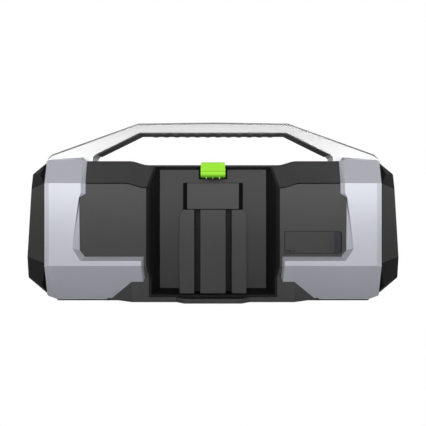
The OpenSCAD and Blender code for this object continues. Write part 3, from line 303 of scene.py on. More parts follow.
class Effects:
    """The shader node groups that several materials share, each built once.

    Attributes:
        grain: moulded grain.
        edges: worn edges.
        rings: turned rings.
        ribs: straight ribs.
    """

    def __init__(self) -> None:
        """Builds all the groups."""
        self.grain = self.build_grain()
        self.edges = self.build_edges()
        self.rings = self.build_rings()
        self.ribs = self.build_ribs()

    @staticmethod
    def wave(net: Wiring, turns: Socket) -> Socket:
        """A height from 0 to 1: half of one plus the sine of the turns."""
        sine = net.math("SINE", net.math("MULTIPLY", turns, FULL_TURN))
        return net.math("MULTIPLY_ADD", sine, 0.5, 0.5)

    @staticmethod
    def build_grain() -> bpy.types.NodeTree:
        """Moulded grain: height is fine noise, mottle is slow noise, and rough moves with the mottle.

        Returns:
            The group, with outputs Height, Mottle and Rough.
        """
        inputs = {"Grain": 1500.0, "Patches": 14.0, "Roughness": 0.5, "Spread": 0.12}
        tree, source, sink = shared_group("moulded_grain", inputs, "Height", "Mottle", "Rough")
        net = Wiring(tree)
        place = net.place()
        fine = net.add("TexNoise", Vector=place, Scale=source.outputs["Grain"], Detail=2.0)
        slow = net.add("TexNoise", Vector=place, Scale=source.outputs["Patches"], Detail=4.0)
        centred = net.math("SUBTRACT", slow.outputs["Fac"], 0.5)
        net.put(sink, "Height", fine.outputs["Fac"])
        net.put(sink, "Mottle", slow.outputs["Fac"])
        net.put(sink, "Rough", net.math("MULTIPLY_ADD", centred, source.outputs["Spread"],
                                        source.outputs["Roughness"]))
        return tree

    @staticmethod
    def build_edges() -> bpy.types.NodeTree:
        """Worn edges: one minus the cosine between the plain normal and one rounded over Radius.

        Returns:
            The group, with the output Mask, 1 on the sharpest edges.
        """
        tree, source, sink = shared_group("worn_edges", {"Radius": 0.0008, "Gain": 5.0}, "Mask")
        net = Wiring(tree)
        rounded = net.add("Bevel", Radius=source.outputs["Radius"])
        rounded.samples = EDGE_SAMPLES
        cosine = net.add("VectorMath")
        cosine.operation = "DOT_PRODUCT"
        net.put(cosine, 0, rounded.outputs["Normal"])
        net.put(cosine, 1, net.add("NewGeometry").outputs["Normal"])
        gap = net.math("SUBTRACT", 1.0, cosine.outputs["Value"])
        mask = net.math("MULTIPLY", gap, source.outputs["Gain"])
        mask.node.use_clamp = True
        net.put(sink, "Mask", mask)
        return tree

    @classmethod
    def build_rings(cls) -> bpy.types.NodeTree:
        """Turned rings: the sine of the distance from a line along Y or X.

        Returns:
            The group, with the output Height, 0 to 1.
        """
        inputs = {"Along X": 0.0, "Side": 0.0, "Level": 0.0, "Pitch": 0.001}
        tree, source, sink = shared_group("turned_rings", inputs, "Height")
        net = Wiring(tree)
        x, y, z = net.axes()
        across = net.math("SUBTRACT", net.math("ABSOLUTE", x), source.outputs["Side"])
        other = net.math("SUBTRACT", y, source.outputs["Side"])
        aside = net.blend(source.outputs["Along X"], across, other, Mix.NUMBERS)
        rise = net.math("SUBTRACT", z, source.outputs["Level"])
        squares = net.math("ADD", net.math("MULTIPLY", aside, aside), net.math("MULTIPLY", rise, rise))
        turns = net.math("DIVIDE", net.math("SQRT", squares), source.outputs["Pitch"])
        net.put(sink, "Height", cls.wave(net, turns))
        return tree

    @classmethod
    def build_ribs(cls) -> bpy.types.NodeTree:
        """Ribs across X: a sine of the place along X with the given Pitch.

        Returns:
            The group, with the output Height, 0 to 1.
        """
        tree, source, sink = shared_group("straight_ribs", {"Pitch": 0.004}, "Height")
        net = Wiring(tree)
        net.put(sink, "Height", cls.wave(net, net.math("DIVIDE", net.axes()[0], source.outputs["Pitch"])))
        return tree


@dataclass(frozen=True)
class Finish:
    """A moulded or painted surface with fine grain, slow changes of tone and worn edges.

    Attributes:
        name: name of the material.
        shade: base colour.
        roughness: mean roughness.
        grain: grains per metre.
        depth: height of the grain in metres.
        tone: change of brightness from place to place, as a share.
        wear: how strongly the worn edges show, as a share.
        metallic: 1 for bare metal.
        specular: specular level.
        worn_gain: brightness that full wear adds to an edge, as a share of the base colour.
    """

    name: str
    shade: Shade
    roughness: float = 0.5
    grain: float = 1500.0
    depth: float = 0.00003
    tone: float = 0.06
    wear: float = 0.0
    metallic: float = 0.0
    specular: float = 0.35
    worn_gain: float = 6.0

    def toned(self, net: Wiring, mottle: Socket, shade: Shade) -> Socket:
        """A shade that runs from a little darker to a little brighter with the mottle."""
        return net.blend(mottle, shade.linear(1 - self.tone), shade.linear(1 + self.tone))

    def colour(self, net: Wiring, mottle: Socket) -> Socket:
        """The base colour before wear.

        Args:
            net: the material's wiring.
            mottle: slow noise, 0 to 1.
        Returns:
            The colour's socket.
        """
        return self.toned(net, mottle, self.shade)

    def height(self, net: Wiring, effects: Effects, grain: Socket) -> Socket:
        """The height that the bump reads, in shares of depth.

        Args:
            net: the material's wiring.
            effects: the shared groups.
            grain: fine noise, 0 to 1.
        Returns:
            The height's socket.
        """
        return grain

    def build(self, effects: Effects) -> bpy.types.Material:
        """Builds the material.

        Args:
            effects: the shared groups.
        Returns:
            The material, ready to be put on a piece.
        """
        material = bpy.data.materials.new(self.name)
        material.use_nodes = True
        net = Wiring(material.node_tree)
        shader = material.node_tree.nodes["Principled BSDF"]
        net.put(shader, "Metallic", self.metallic)
        net.put(shader, "Specular IOR Level", self.specular)
        group = net.use(effects.grain, Grain=self.grain, Roughness=self.roughness)
        colour = self.colour(net, group.outputs["Mottle"])
        if self.wear:
            worn = net.math("MULTIPLY", net.use(effects.edges).outputs["Mask"], self.wear)
            colour = net.blend(worn, colour, self.shade.linear(1.0 + self.worn_gain * self.wear))
        bump = net.add("Bump", Strength=1.0, Distance=self.depth)
        net.put(bump, "Height", self.height(net, effects, group.outputs["Height"]))
        net.put(shader, "Base Color", colour)
        net.put(shader, "Roughness", group.outputs["Rough"])
        net.put(shader, "Normal", bump.outputs["Normal"])
        return material


@dataclass(frozen=True)
class SlopeShadeFinish(Finish):
    """The shells and the guards: painted shade, a darker tone on all that slopes or lies flat.

    Attributes:
        slope_shade: brightness of the painted shade on the slopes, as a share of the faces' own.
        rise: upward or downward part of the surface's direction at which a slope starts.
        over: height over which slopes count, in metres.
    """

    slope_shade: float = 0.66
    rise: float = 0.25
    over: float = 0.13

    def colour(self, net: Wiring, mottle: Socket) -> Socket:
        """The painted shade where the surface looks up or down by more than rise and lies high enough.

        Args:
            net: the material's wiring.
            mottle: slow noise, 0 to 1.
        Returns:
            The colour's socket.
        """
        tilted = net.above(net.math("ABSOLUTE", net.facing()[2]), self.rise)
        slope = net.both(tilted, net.above(net.axes()[2], self.over))
        # painted shade: slopes and flat parts darker than the upright faces
        return net.blend(slope, super().colour(net, mottle), self.shade.linear(self.slope_shade))


@dataclass(frozen=True)
class CapFinish(Finish):
    """The end caps: body plastic between two rubber bumpers, parted at the creases.

    Attributes:
        rubber: colour of the bumpers.
        foot_x: distance from the middle at which both creases start, in metres.
        high: height of the upper crease there.
        low: height of the lower crease there.
        high_fall: fall of the upper crease per metre outwards.
        low_rise: rise of the lower crease per metre outwards.
    """

    rubber: Shade = Shade.CAP_RUBBER
    foot_x: float = 0.200
    high: float = 0.1446
    low: float = 0.0508
    high_fall: float = 0.16
    low_rise: float = 0.09

    def colour(self, net: Wiring, mottle: Socket) -> Socket:
        """Plastic between the two crease lines, which are straight in X and Z, and rubber beyond.

        Args:
            net: the material's wiring.
            mottle: slow noise, 0 to 1.
        Returns:
            The colour's socket.
        """
        x, _, z = net.axes()
        out = net.math("SUBTRACT", net.math("ABSOLUTE", x), self.foot_x)
        top = net.math("MULTIPLY_ADD", out, -self.high_fall, self.high)
        bottom = net.math("MULTIPLY_ADD", out, self.low_rise, self.low)
        between = net.both(net.below(z, top), net.above(z, bottom))
        return net.blend(between, self.toned(net, mottle, self.rubber), super().colour(net, mottle))


@dataclass(frozen=True)
class BayFinish(Finish):
    """The battery bay: its flat back as the body, painted shade on its walls and floor, painted black
    shadow at the latch.

    Attributes:
        side: painted shade of the side walls and the floor.
        back_y: place of the bay's back wall along Y, in metres.
        recess_shadow: painted black shadow in the recess that the latch moves in.
        recess_shadow_half: half the width of that painted shadow.
        recess_shadow_low: height of its lower edge.
    """

    side: Shade = Shade.BAY_WALL_SHADE
    back_y: float = -0.0322
    recess_shadow: Shade = Shade.JET
    recess_shadow_half: float = 0.0184
    recess_shadow_low: float = 0.1535

    def colour(self, net: Wiring, mottle: Socket) -> Socket:
        """The body's colour at the back wall, painted shade in front of it, painted black shadow at the
        latch.

        Args:
            net: the material's wiring.
            mottle: slow noise, 0 to 1.
        Returns:
            The colour's socket.
        """
        x, y, z = net.axes()
        # painted shade: walls and floor in front of the back wall are darker
        wall = net.blend(net.above(y, self.back_y), self.side.linear(), super().colour(net, mottle))
        # painted shadow: black round the latch
        inside = net.both(net.below(net.math("ABSOLUTE", x), self.recess_shadow_half), net.above(z, self.recess_shadow_low))
        return net.blend(inside, wall, self.recess_shadow.linear())


@dataclass(frozen=True)
class BlockFinish(Finish):
    """The rail block and its cover plate: body plastic, with painted black shade inside the block's two
    grooves.

    Attributes:
        groove: distance of each groove's middle from the middle of the block, in metres.
        half: half the width of a groove.
        face_y: place of the block's face along Y.
        dark: painted shade inside the grooves.
    """

    groove: float = 0.0187
    half: float = 0.0037
    face_y: float = -0.0775
    dark: Shade = Shade.JET

    def colour(self, net: Wiring, mottle: Socket) -> Socket:
        """Painted shade where the place is behind the face and within half of a groove's middle.

        Args:
            net: the material's wiring.
            mottle: slow noise, 0 to 1.
        Returns:
            The colour's socket.
        """
        x, y, _ = net.axes()
        beside = net.near(net.math("ABSOLUTE", x), self.groove, self.half)
        inside = net.both(beside, net.above(y, self.face_y))
        # painted shade: the grooves are black
        return net.blend(inside, super().colour(net, mottle), self.dark.linear())


@dataclass(frozen=True)
class CrownShadeFinish(Finish):
    """The handle: white, with painted shade in grey on the slopes between its faces and its top.

    Attributes:
        crown_shade: painted shade on the slopes.
        rise: upward part of the surface's direction at which a slope starts.
        flat: part of that direction along Y under which the surface counts as the top.
        upright: part of it along Y over which the surface counts as a face.
    """

    crown_shade: Shade = Shade.CROWN
    rise: float = 0.22
    flat: float = 0.2
    upright: float = 0.8

    def colour(self, net: Wiring, mottle: Socket) -> Socket:
        """Grey painted shade where the surface looks up by more than rise and partly sideways, white
        elsewhere.

        Args:
            net: the material's wiring.
            mottle: slow noise, 0 to 1.
        Returns:
            The colour's socket.
        """
        _, y, z = net.facing()
        aside = net.math("ABSOLUTE", y)
        between = net.both(net.above(aside, self.flat), net.below(aside, self.upright))
        slope = net.both(net.above(z, self.rise), between)
        # painted shade on the handle's slopes
        return net.blend(slope, super().colour(net, mottle), self.crown_shade.linear())


@dataclass(frozen=True)
class LipShadeFinish(Finish):
    """The latch: bright green, with painted shade in a dark green on the lip that a finger lifts and along
    the fold.

    Attributes:
        lip: painted shade on the lip, a dark green.
        low: height at which the lip's green is at its deepest, in metres.
        fade: height over which the colours run into each other.
        fold: height of the fold across the latch.
        fold_half: half the height of the fold's line.
        fold_shade: brightness of the painted shade line at the fold, as a share of the latch's own.
    """

    lip: Shade = Shade.LATCH_LIP_SHADE
    low: float = 0.1540
    fade: float = 0.0042
    fold: float = 0.1612
    fold_half: float = 0.0005
    fold_shade: float = 0.72

    def colour(self, net: Wiring, mottle: Socket) -> Socket:
        """Painted shade: runs from the lip's dark green at low to the bright one a fade above it, with a
        darker line at the fold.

        Args:
            net: the material's wiring.
            mottle: slow noise, 0 to 1.
        Returns:
            The colour's socket.
        """
        z = net.axes()[2]
        raised = net.math("DIVIDE", net.math("SUBTRACT", z, self.low), self.fade)
        share = net.math("MINIMUM", net.math("MAXIMUM", raised, 0.0), 1.0)
        # painted shade: darker green towards the lip and at the fold
        plain = net.blend(share, self.lip.linear(), super().colour(net, mottle))
        line = net.near(z, self.fold, self.fold_half)
        return net.blend(line, plain, self.shade.linear(self.fold_shade))


@dataclass(frozen=True)
class CoverFinish(Finish):
    """The port cover: body plastic with painted shade of a finger dish near its free end.

    Attributes:
        dish: painted shade of the finger dish.
        dish_x: place along X at which the dish starts, in metres.
    """

    dish: Shade = Shade.DISH_SHADE
    dish_x: float = 0.1433

    def colour(self, net: Wiring, mottle: Socket) -> Socket:
        """The painted shade past dish_x."""
        past = net.above(net.axes()[0], self.dish_x)
        # painted shade where a finger dish would be
        return net.blend(past, super().colour(net, mottle), self.dish.linear())


@dataclass(frozen=True)
class RibbedFinish(Finish):
    """Rubber with straight ribs across its length.

    Attributes:
        pitch: distance from rib to rib in metres.
        grained: height of the grain as a share of the ribs'.
    """

    pitch: float = 0.004
    grained: float = 0.2

    def height(self, net: Wiring, effects: Effects, grain: Socket) -> Socket:
        """The ribs' height with a share of the grain."""
        ribs = net.use(effects.ribs, Pitch=self.pitch)
        return net.math("MULTIPLY_ADD", grain, self.grained, ribs.outputs["Height"])


@dataclass(frozen=True)
class TurnedFinish(Finish):
    """A round piece with rings about its own axis, such as a turned plate or a pressed cone.

    Attributes:
        along_x: true where the axis runs along X, false where it runs along Y.
        offset: distance of the axis from the middle in metres.
        level: height of the axis in metres.
        pitch: distance from ring to ring in metres.
        grained: height of the grain as a share of the rings'.
    """

    along_x: bool = False
    offset: float = 0.0
    level: float = 0.0
    pitch: float = 0.001
    grained: float = 0.35

    def height(self, net: Wiring, effects: Effects, grain: Socket) -> Socket:
        """The rings' height with a share of the grain."""
        rings = net.use(effects.rings, Along_X=float(self.along_x), Side=self.offset, Level=self.level,
                        Pitch=self.pitch)
        return net.math("MULTIPLY_ADD", grain, self.grained, rings.outputs["Height"])


@dataclass(frozen=True)
class BoardFinish(Finish):
    """Green laminate with copper paths under the lacquer.

    Attributes:
        trace: colour of the paths.
        cells: cells per metre that the paths run round.
        bands: paths from the middle of a cell to its edge.
        bare: share of a band that stays plain.
        jitter: how irregular the cells are, from 0 to 1.
    """

    trace: Shade = Shade.TRACE
    cells: float = 260.0
    bands: float = 3.0
    bare: float = 0.72
    jitter: float = 0.8

    def colour(self, net: Wiring, mottle: Socket) -> Socket:
        """Paths where the distance from the middle of square cells is late in its band.

        Args:
            net: the material's wiring.
            mottle: slow noise, 0 to 1.
        Returns:
            The colour's socket.
        """
        cells = net.add("TexVoronoi", Vector=net.place(), Scale=self.cells, Randomness=self.jitter)
        cells.distance = "CHEBYCHEV"
        band = net.math("FRACT", net.math("MULTIPLY", cells.outputs["Distance"], self.bands))
        path = net.above(band, self.bare)
        return net.blend(path, super().colour(net, mottle), self.trace.linear())


@dataclass(frozen=True)
class LensFinish(Finish):
    """A clear bar with four pale segments behind it.

    Attributes:
        pitch: distance from segment to segment in metres.
        share: width of a segment as a share of the pitch.
        gap_gain: brightness between the segments as a share of theirs.
    """

    pitch: float = 0.0045
    share: float = 0.78
    gap_gain: float = 0.12

    def colour(self, net: Wiring, mottle: Socket) -> Socket:
        """Pale where the place along X is inside a segment, dark between.

        A metre is added to X, so that it is positive all along the bar.

        Args:
            net: the material's wiring.
            mottle: slow noise, 0 to 1.
        Returns:
            The colour's socket.
        """
        along = net.math("FRACT", net.math("DIVIDE", net.math("ADD", net.axes()[0], 1.0), self.pitch))
        lit = net.near(along, 0.5, self.share / 2)
        return net.blend(lit, self.shade.linear(self.gap_gain), super().colour(net, mottle))


class Coat(Enum):
    """Every finish of the speaker. Plain numbers are roughness, grain, depth, tone and wear."""

    # CASE and GUARD carry painted shade on their slopes.
    CASE = SlopeShadeFinish("case_plastic", Shade.CASE, 0.6, wear=0.05, specular=0.07)
    BAY = BayFinish("bay_plastic", Shade.BAY, 0.65, specular=0.08)
    BLOCK = BlockFinish("block_plastic", Shade.BLOCK, 0.6, wear=0.04, specular=0.12)
    COVER = CoverFinish("cover_rubber", Shade.CASE, 0.7, wear=0.02, specular=0.06)
    CAP = CapFinish("cap_rubber", Shade.CAP_PANEL, 0.65, wear=0.03, specular=0.02)
    GUARD = SlopeShadeFinish("guard_plastic", Shade.GUARD, 0.45, 500.0, 0.00001, 0.012, 0.01, specular=0.12,
                         slope_shade=0.78, over=-1.0)
    HANDLE = CrownShadeFinish("handle_plastic", Shade.HANDLE, 0.42, 500.0, 0.00001, 0.008, specular=0.04)
    RUBBER = Finish("soft_rubber", Shade.GRIP, 0.75, 2200.0, specular=0.2)
    # painted light: the grip is paler than its dark rubber
    GRIP = Finish("grip_rubber_painted_light", Shade.GRIP_PAINTED_LIGHT, 0.8, 2200.0, specular=0.1)
    TREAD = RibbedFinish("tread_rubber", Shade.GRIP, 0.8, 2200.0, 0.0006, specular=0.2)
    BLACK = Finish("black_plastic", Shade.BLACK, 0.5, wear=0.05, specular=0.25)
    HOLDER = Finish("holder_plastic", Shade.JET, 0.7, specular=0.04)
    KEY = Finish("key_rubber", Shade.BLACK, 0.65, 2600.0, 0.00002, wear=0.06, specular=0.3)
    LATCH = LipShadeFinish("latch_plastic", Shade.LATCH, 0.38, 500.0, 0.00001, 0.02, 0.02, specular=0.1)
    # painted glint on the latch's nubs
    NUB_GLINT = Finish("nub_glint", Shade.NUB_GLINT, 0.4, 500.0, 0.00001, 0.02)
    STEEL = Finish("screw_steel", Shade.STEEL, 0.32, 3000.0, 0.000004, 0.05, metallic=1.0)
    # painted shadow on the contact blades
    BLADE_SHADOW = Finish("contact_blade_shadow", Shade.BLADE_SHADOW, 0.5, 3000.0, 0.000004, 0.08, specular=0.1)
    GRILLE = Finish("grille_paint", Shade.GRILLE, 0.5, 1800.0, wear=0.1, specular=0.3)
    BASKET = Finish("basket_paint", Shade.BLACK, 0.5, 1200.0, wear=0.08)
    CONE = TurnedFinish("cone_paper", Shade.CONE, 0.8, 3500.0, 0.00025, specular=0.2, offset=0.094,
                        level=0.0958, pitch=0.0042)
    DOME = TurnedFinish("dome_metal", Shade.ALUMINIUM, 0.3, 3500.0, 0.00001, metallic=1.0, offset=0.022,
                        level=0.112, pitch=0.0009)
    PLATE = TurnedFinish("plate_metal", Shade.ALUMINIUM, 0.36, 3500.0, 0.00002, metallic=1.0,
                         along_x=True, level=0.093, pitch=0.0008)
    SOCKET = Finish("socket_metal", Shade.SOCKET, 0.5, 2400.0, 0.00001, specular=0.3)
    SINK = Finish("sink_metal", Shade.SINK, 0.45, 2400.0, 0.00001, metallic=1.0)
    FERRITE = Finish("magnet_iron", Shade.FERRITE, 0.6, 1600.0, 0.00006, 0.12)
    BOARD = BoardFinish("board_laminate", Shade.BOARD, 0.35, specular=0.5)
    PARTS = Finish("part_plastic", Shade.PARTS, 0.5, 1800.0)
    WIRE = Finish("wire_sleeve", Shade.WIRE, 0.5, 1800.0, 0.00001)
    LENS = LensFinish("light_lens", Shade.LENS, 0.2, 600.0, 0.000004, specular=0.5)
    # painted shadow in dark lines and plugs
    SEAM = Finish("painted_shadow", Shade.SEAM, 0.8, specular=0.1)
    ICON = Finish("icon_ink", Shade.ICON, 0.55, 2600.0, 0.000005, 0.02)


MATERIALS: dict[Coat, bpy.types.Material] = {}


def dress(coat: Coat, *nodes: str) -> None:
    """Puts one finish on CAD nodes.

    Args:
        coat: the finish.
        nodes: names of the nodes.
    """
    for node in nodes:
        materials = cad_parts[node].data.materials
        materials.clear()
        materials.append(MATERIALS[coat])
        LOG.info("dressed %s with %s", node, MATERIALS[coat].name)


def smooth(mesh: bpy.types.Mesh) -> None:
    """Sets every face of a mesh to smooth shading."""
    mesh.polygons.foreach_set("use_smooth", np.ones(len(mesh.polygons), dtype=bool))


def soften(width: float, *nodes: str, segments: int = 2, angle: float = 24.0) -> None:
    """Rounds the edges of CAD nodes: joins loose triangles, merges flat ones, bevels sharp edges.

    Args:
        width: width of the rounding in metres.
        nodes: names of the nodes.
        segments: steps across the rounding.
        angle: edges sharper than this, in degrees, are rounded.
    """
    for node in nodes:
        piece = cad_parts[node]
        weld = piece.modifiers.new("weld", "WELD")
        weld.merge_threshold = WELD_GAP
        flat = piece.modifiers.new("flat", "DECIMATE")
        flat.decimate_type = "DISSOLVE"
        flat.angle_limit = FLAT_ANGLE
        bevel = piece.modifiers.new("bevel", "BEVEL")
        bevel.width = width
        bevel.segments = segments
        bevel.limit_method = "ANGLE"
        bevel.angle_limit = math.radians(angle)
        bevel.use_clamp_overlap = True
        smooth(piece.data)
        normals = piece.modifiers.new("normals", "WEIGHTED_NORMAL")
        normals.keep_sharp = True
        normals.weight = FACE_WEIGHT
        LOG.info("softened %s by %.2f mm", node, width / MM)


def grid_faces(rows: int, columns: int, around: bool) -> list[list[int]]:
    """Quads over a grid: face (i, j) joins points i and i + 1 of columns j and j + 1.

    Args:
        rows: stations along the path.
        columns: points of the profile, which is closed.
        around: whether the last station joins the first.
    Returns:
        The faces, with a cap at each end of an open path.
    """
    i = np.arange(rows if around else rows - 1)[:, None]
    j = np.arange(columns)[None, :]
    here = i * columns
    after = (i + 1) % rows * columns
    beside = (j + 1) % columns
    quads = np.stack([here + j, here + beside, after + beside, after + j], -1)
    faces = quads.reshape(-1, 4).tolist()
    if not around:
        ring = np.arange(columns)
        faces += [ring[::-1].tolist(), ((rows - 1) * columns + ring).tolist()]
    return faces


def unit(rows: np.ndarray) -> np.ndarray:
    """Each row divided by its own length."""
    return rows / np.linalg.norm(rows, axis=1, keepdims=True)


def swept(path: np.ndarray, profile: np.ndarray, up: np.ndarray, around: bool = False) -> Shell:
    """Carries a closed profile along a path.

    A point is path + side * a + above * b, where side is the tangent crossed with up and is
    stretched at a bend by one over the cosine of half the turn, and above is up. A cosine under
    LEAST_COSINE counts as that.

    Args:
        path: points of the path, one row each.
        profile: points of the profile, as (a, b) rows.
        up: the direction that b rises in.
        around: whether the path is closed.
    Returns:
        The points and the faces.
    """
    ahead = np.roll(path, -1, axis=0) - path
    behind = path - np.roll(path, 1, axis=0)
    if not around:
        ahead[-1] = behind[-1]
        behind[0] = ahead[0]
    ahead = unit(ahead)
    tangent = unit(ahead + unit(behind))
    half_turn = np.clip(np.sum(tangent * ahead, axis=1, keepdims=True), LEAST_COSINE, 1.0)
    side = unit(np.cross(tangent, up)) / half_turn
    grid = path[:, None, :] + side[:, None, :] * profile[None, :, :1] + up * profile[None, :, 1:]
    return grid.reshape(-1, 3), grid_faces(len(path), len(profile), around)


def new_piece(name: str, shells: list[Shell], coat: Coat, body: str,
              rounded: bool = True) -> None:
    """Makes one piece of the scene from closed shells and lets it ride on a body.

    Args:
        name: name of the piece.
        shells: points and faces of each closed shell.
        coat: its finish.
        body: the CAD body it moves with.
        rounded: whether its faces are shaded smooth where they meet below SMOOTH_ANGLE.
    """
    starts = np.cumsum([0] + [len(points) for points, _ in shells])
    points = np.vstack([points for points, _ in shells])
    faces = [[corner + int(start) for corner in face] for start, (_, part) in zip(starts, shells)
             for face in part]
    mesh = bpy.data.meshes.new(name)
    mesh.from_pydata(points.tolist(), [], faces)
    shape = bmesh.new()
    shape.from_mesh(mesh)
    bmesh.ops.recalc_face_normals(shape, faces=shape.faces)
    shape.to_mesh(mesh)
    shape.free()
    if rounded:
        smooth(mesh)
        mesh.set_sharp_from_angle(angle=SMOOTH_ANGLE)
    mesh.materials.append(MATERIALS[coat])
    piece = bpy.data.objects.new(name, mesh)
    bpy.context.scene.collection.objects.link(piece)
    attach(piece, body)
    LOG.info("made %s, %d faces, on %s", name, len(faces), body)


def bead(radius: float, sides: int = 10) -> np.ndarray:
    """A round profile: points at equal angles on a circle.

    Args:
        radius: its radius in metres.
        sides: number of points.
    Returns:
        Rows (a, b).
    """
    turn = np.arange(sides) * FULL_TURN / sides
    return np.stack([np.cos(turn), np.sin(turn)], -1) * radius


def bar(half: float, low: float, high: float) -> np.ndarray:
    """A flat profile whose upper corners are cut by CHAMFER of its half width or its height, the smaller.

    Args:
        half: half its width.
        low: its underside.
        high: its top.
    Returns:
        Rows (a, b).
    """
    cut = min(half, high - low) * CHAMFER
    return np.array([[-half, low], [half, low], [half, high - cut], [half - cut, high],
                     [-half + cut, high], [-half, high - cut]])


def arc(centre: tuple[float, float], radius: float, start: float, end: float,
        steps: int = 24) -> np.ndarray:
    """Points on a circle's arc: centre plus radius times the cosine and sine of the angle.

    Args:
        centre: middle of the circle.
        radius: its radius.
        start: first angle in degrees.
        end: last angle in degrees.
        steps: number of points.
    Returns:
        Rows (u, v).
    """
    turn = np.radians(np.linspace(start, end, steps))
    return np.array(centre) + radius * np.stack([np.cos(turn), np.sin(turn)], -1)


def ring(centre: tuple[float, float], radius: float, points: int) -> np.ndarray:
    """Points at equal angles on a whole circle, as rows (u, v)."""
    return arc(centre, radius, 0.0, 360.0, points + 1)[:-1]


@dataclass
class Body:
    """The two shells, their seal, painted shadow lines along the creases, and the end caps.

    Attributes:
        shell_edge: width of the shells' softened edges, in metres.
        cap_edge: width of the end caps' softened edges.
        foot_edge: width of the feet's softened edges.
        crease_y: distance of the panels from the middle along Y.
        crease_z: height of the crease above the panels.
        dip: how far the crease lies lower in the middle.
        dip_half: half the length of the lower middle.
        ramp: length of the slope at each end of it.
        crease_shadow_end: distance from the middle at which the guards hide the painted shadow line.
        mouth: half the width of the bay's mouth.
        crease_shadow_radius: radius of the painted shadow line's bead.
        stations: number of points along a painted shadow line.
    """

    shell_edge: float = 0.6 * MM
    cap_edge: float = 1.0 * MM
    foot_edge: float = 0.8 * MM
    crease_y: float = 84 * MM
    crease_z: float = 145 * MM
    dip: float = 5 * MM
    dip_half: float = 80.5 * MM
    ramp: float = 24 * MM
    crease_shadow_end: float = 149.5 * MM
    mouth: float = 79 * MM
    crease_shadow_radius: float = 0.68 * MM
    stations: int = 49

    def crease_shadow(self, start: float, end: float, y: float) -> Shell:
        """A dark bead along the crease between the panel and the slope above it, as a painted shadow line.

        Its height falls by dip times half of one minus the cosine over each ramp.

        Args:
            start: where it begins along X.
            end: where it ends along X.
            y: the panel's place along Y.
        Returns:
            The bead's shell.
        """
        x = np.linspace(start, end, self.stations)
        share = np.clip((self.dip_half + self.ramp - np.abs(x)) / self.ramp, 0.0, 1.0)
        fall = self.dip * (1 - np.cos(np.pi * share)) / 2
        path = np.stack([x, np.full_like(x, y), self.crease_z - fall], -1)
        return swept(path, bead(self.crease_shadow_radius), UP)

    def build(self) -> None:
        """Dresses the shells and caps and lays the painted shadow lines along the creases."""
        dress(Coat.CASE, "rear_shell", "front_shell")
        dress(Coat.CAP, "left_end_cap", "right_end_cap")
        dress(Coat.RUBBER, "case_seal")
        dress(Coat.TREAD, "feet")
        soften(self.shell_edge, "rear_shell", "front_shell")
        soften(self.cap_edge, "left_end_cap", "right_end_cap")
        soften(self.foot_edge, "feet")
        rear = [self.crease_shadow(-self.crease_shadow_end, -self.mouth, -self.crease_y),
                self.crease_shadow(self.mouth, self.crease_shadow_end, -self.crease_y)]
        front = [self.crease_shadow(-self.crease_shadow_end, self.crease_shadow_end, self.crease_y)]
        # painted shadow lines along the creases
        new_piece("rear_crease_shadow", rear, Coat.SEAM, "case")
        new_piece("front_crease_shadow", front, Coat.SEAM, "case")


@dataclass
class BatteryBay:
    """The bay with its rail block, contacts, latch and spring.

    Attributes:
        edge: width of the bay's and the block's softened edges, in metres.
        latch_edge: width of the latch's softened edges.
        nub_shift: place of the middle nub along X.
        nub_gap: distance from nub to nub on the latch.
        nub_half: half the width of a nub.
        nub_top: its upper end, as the depth behind the latch's front and the height over its lowest point.
        nub_foot: its lower end in the same way, which reaches under the latch's edge.
        stations: number of points along a nub.
    """

    edge: float = 0.5 * MM
    latch_edge: float = 1.8 * MM
    nub_shift: float = -0.2 * MM
    nub_gap: float = 8.1 * MM
    nub_half: float = 0.42 * MM
    nub_top: tuple[float, float] = (1.95 * MM, 1.6 * MM)
    nub_foot: tuple[float, float] = (2.75 * MM, -1.0 * MM)
    stations: int = 5

    def nubs(self) -> None:
        """Sets three nubs, each a bead on a straight line, on the latch's sloping lower edge, pale as a
        painted glint.
        """
        low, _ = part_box("latch_button")
        line = np.linspace((0.0, *self.nub_top), (0.0, *self.nub_foot), self.stations)
        line = np.array([self.nub_shift, low[1], low[2]]) + line
        shells = [swept(line + np.array([place * self.nub_gap, 0.0, 0.0]), bead(self.nub_half), TO_BACK)
                  for place in (-1, 0, 1)]
        new_piece("latch_nubs", shells, Coat.NUB_GLINT, "latch")

    def build(self) -> None:
        """Dresses the bay and adds the latch's nubs."""
        dress(Coat.BAY, "battery_bay")
        dress(Coat.BLOCK, "rail_block", "contact_cover")
        dress(Coat.HOLDER, "contact_holder")
        # the blades carry painted shadow, dark in their grooves
        dress(Coat.BLADE_SHADOW, "contact_blades")
        dress(Coat.LATCH, "latch_button")
        dress(Coat.HOLDER, "latch_pin")
        dress(Coat.STEEL, "latch_spring")
        soften(self.edge, "battery_bay", "rail_block", "contact_cover", "contact_holder")
        soften(self.latch_edge, "latch_button", segments=4)
        self.nubs()


@dataclass
class Guards:
    """The four corner guards.

    Attributes:
        edge: width of their softened edges, in metres.
        sharpness: angle in degrees over which an edge is softened.
    """

    edge: float = 0.9 * MM
    sharpness: float = 14.0

    def build(self) -> None:
        """Dresses and softens the guards."""
        names = [f"{side.value}_guard_{face}" for side in Side for face in ("rear", "front")]
        dress(Coat.GUARD, *names)
        soften(self.edge, *names, segments=3, angle=self.sharpness)


@dataclass
class Handle:
    """The white bar with its grip and bolts.

    Attributes:
        edge: width of the bar's softened edges, in metres.
        grip_edge: width of the grip's softened edges.
    """

    edge: float = 1.6 * MM
    grip_edge: float = 0.5 * MM

    def build(self) -> None:
        """Dresses and softens the handle."""
        dress(Coat.HANDLE, "handle_bar")
        dress(Coat.GRIP, "handle_grip")
        dress(Coat.STEEL, "handle_bolts")
        soften(self.edge, "handle_bar", segments=4)
        soften(self.grip_edge, "handle_grip")


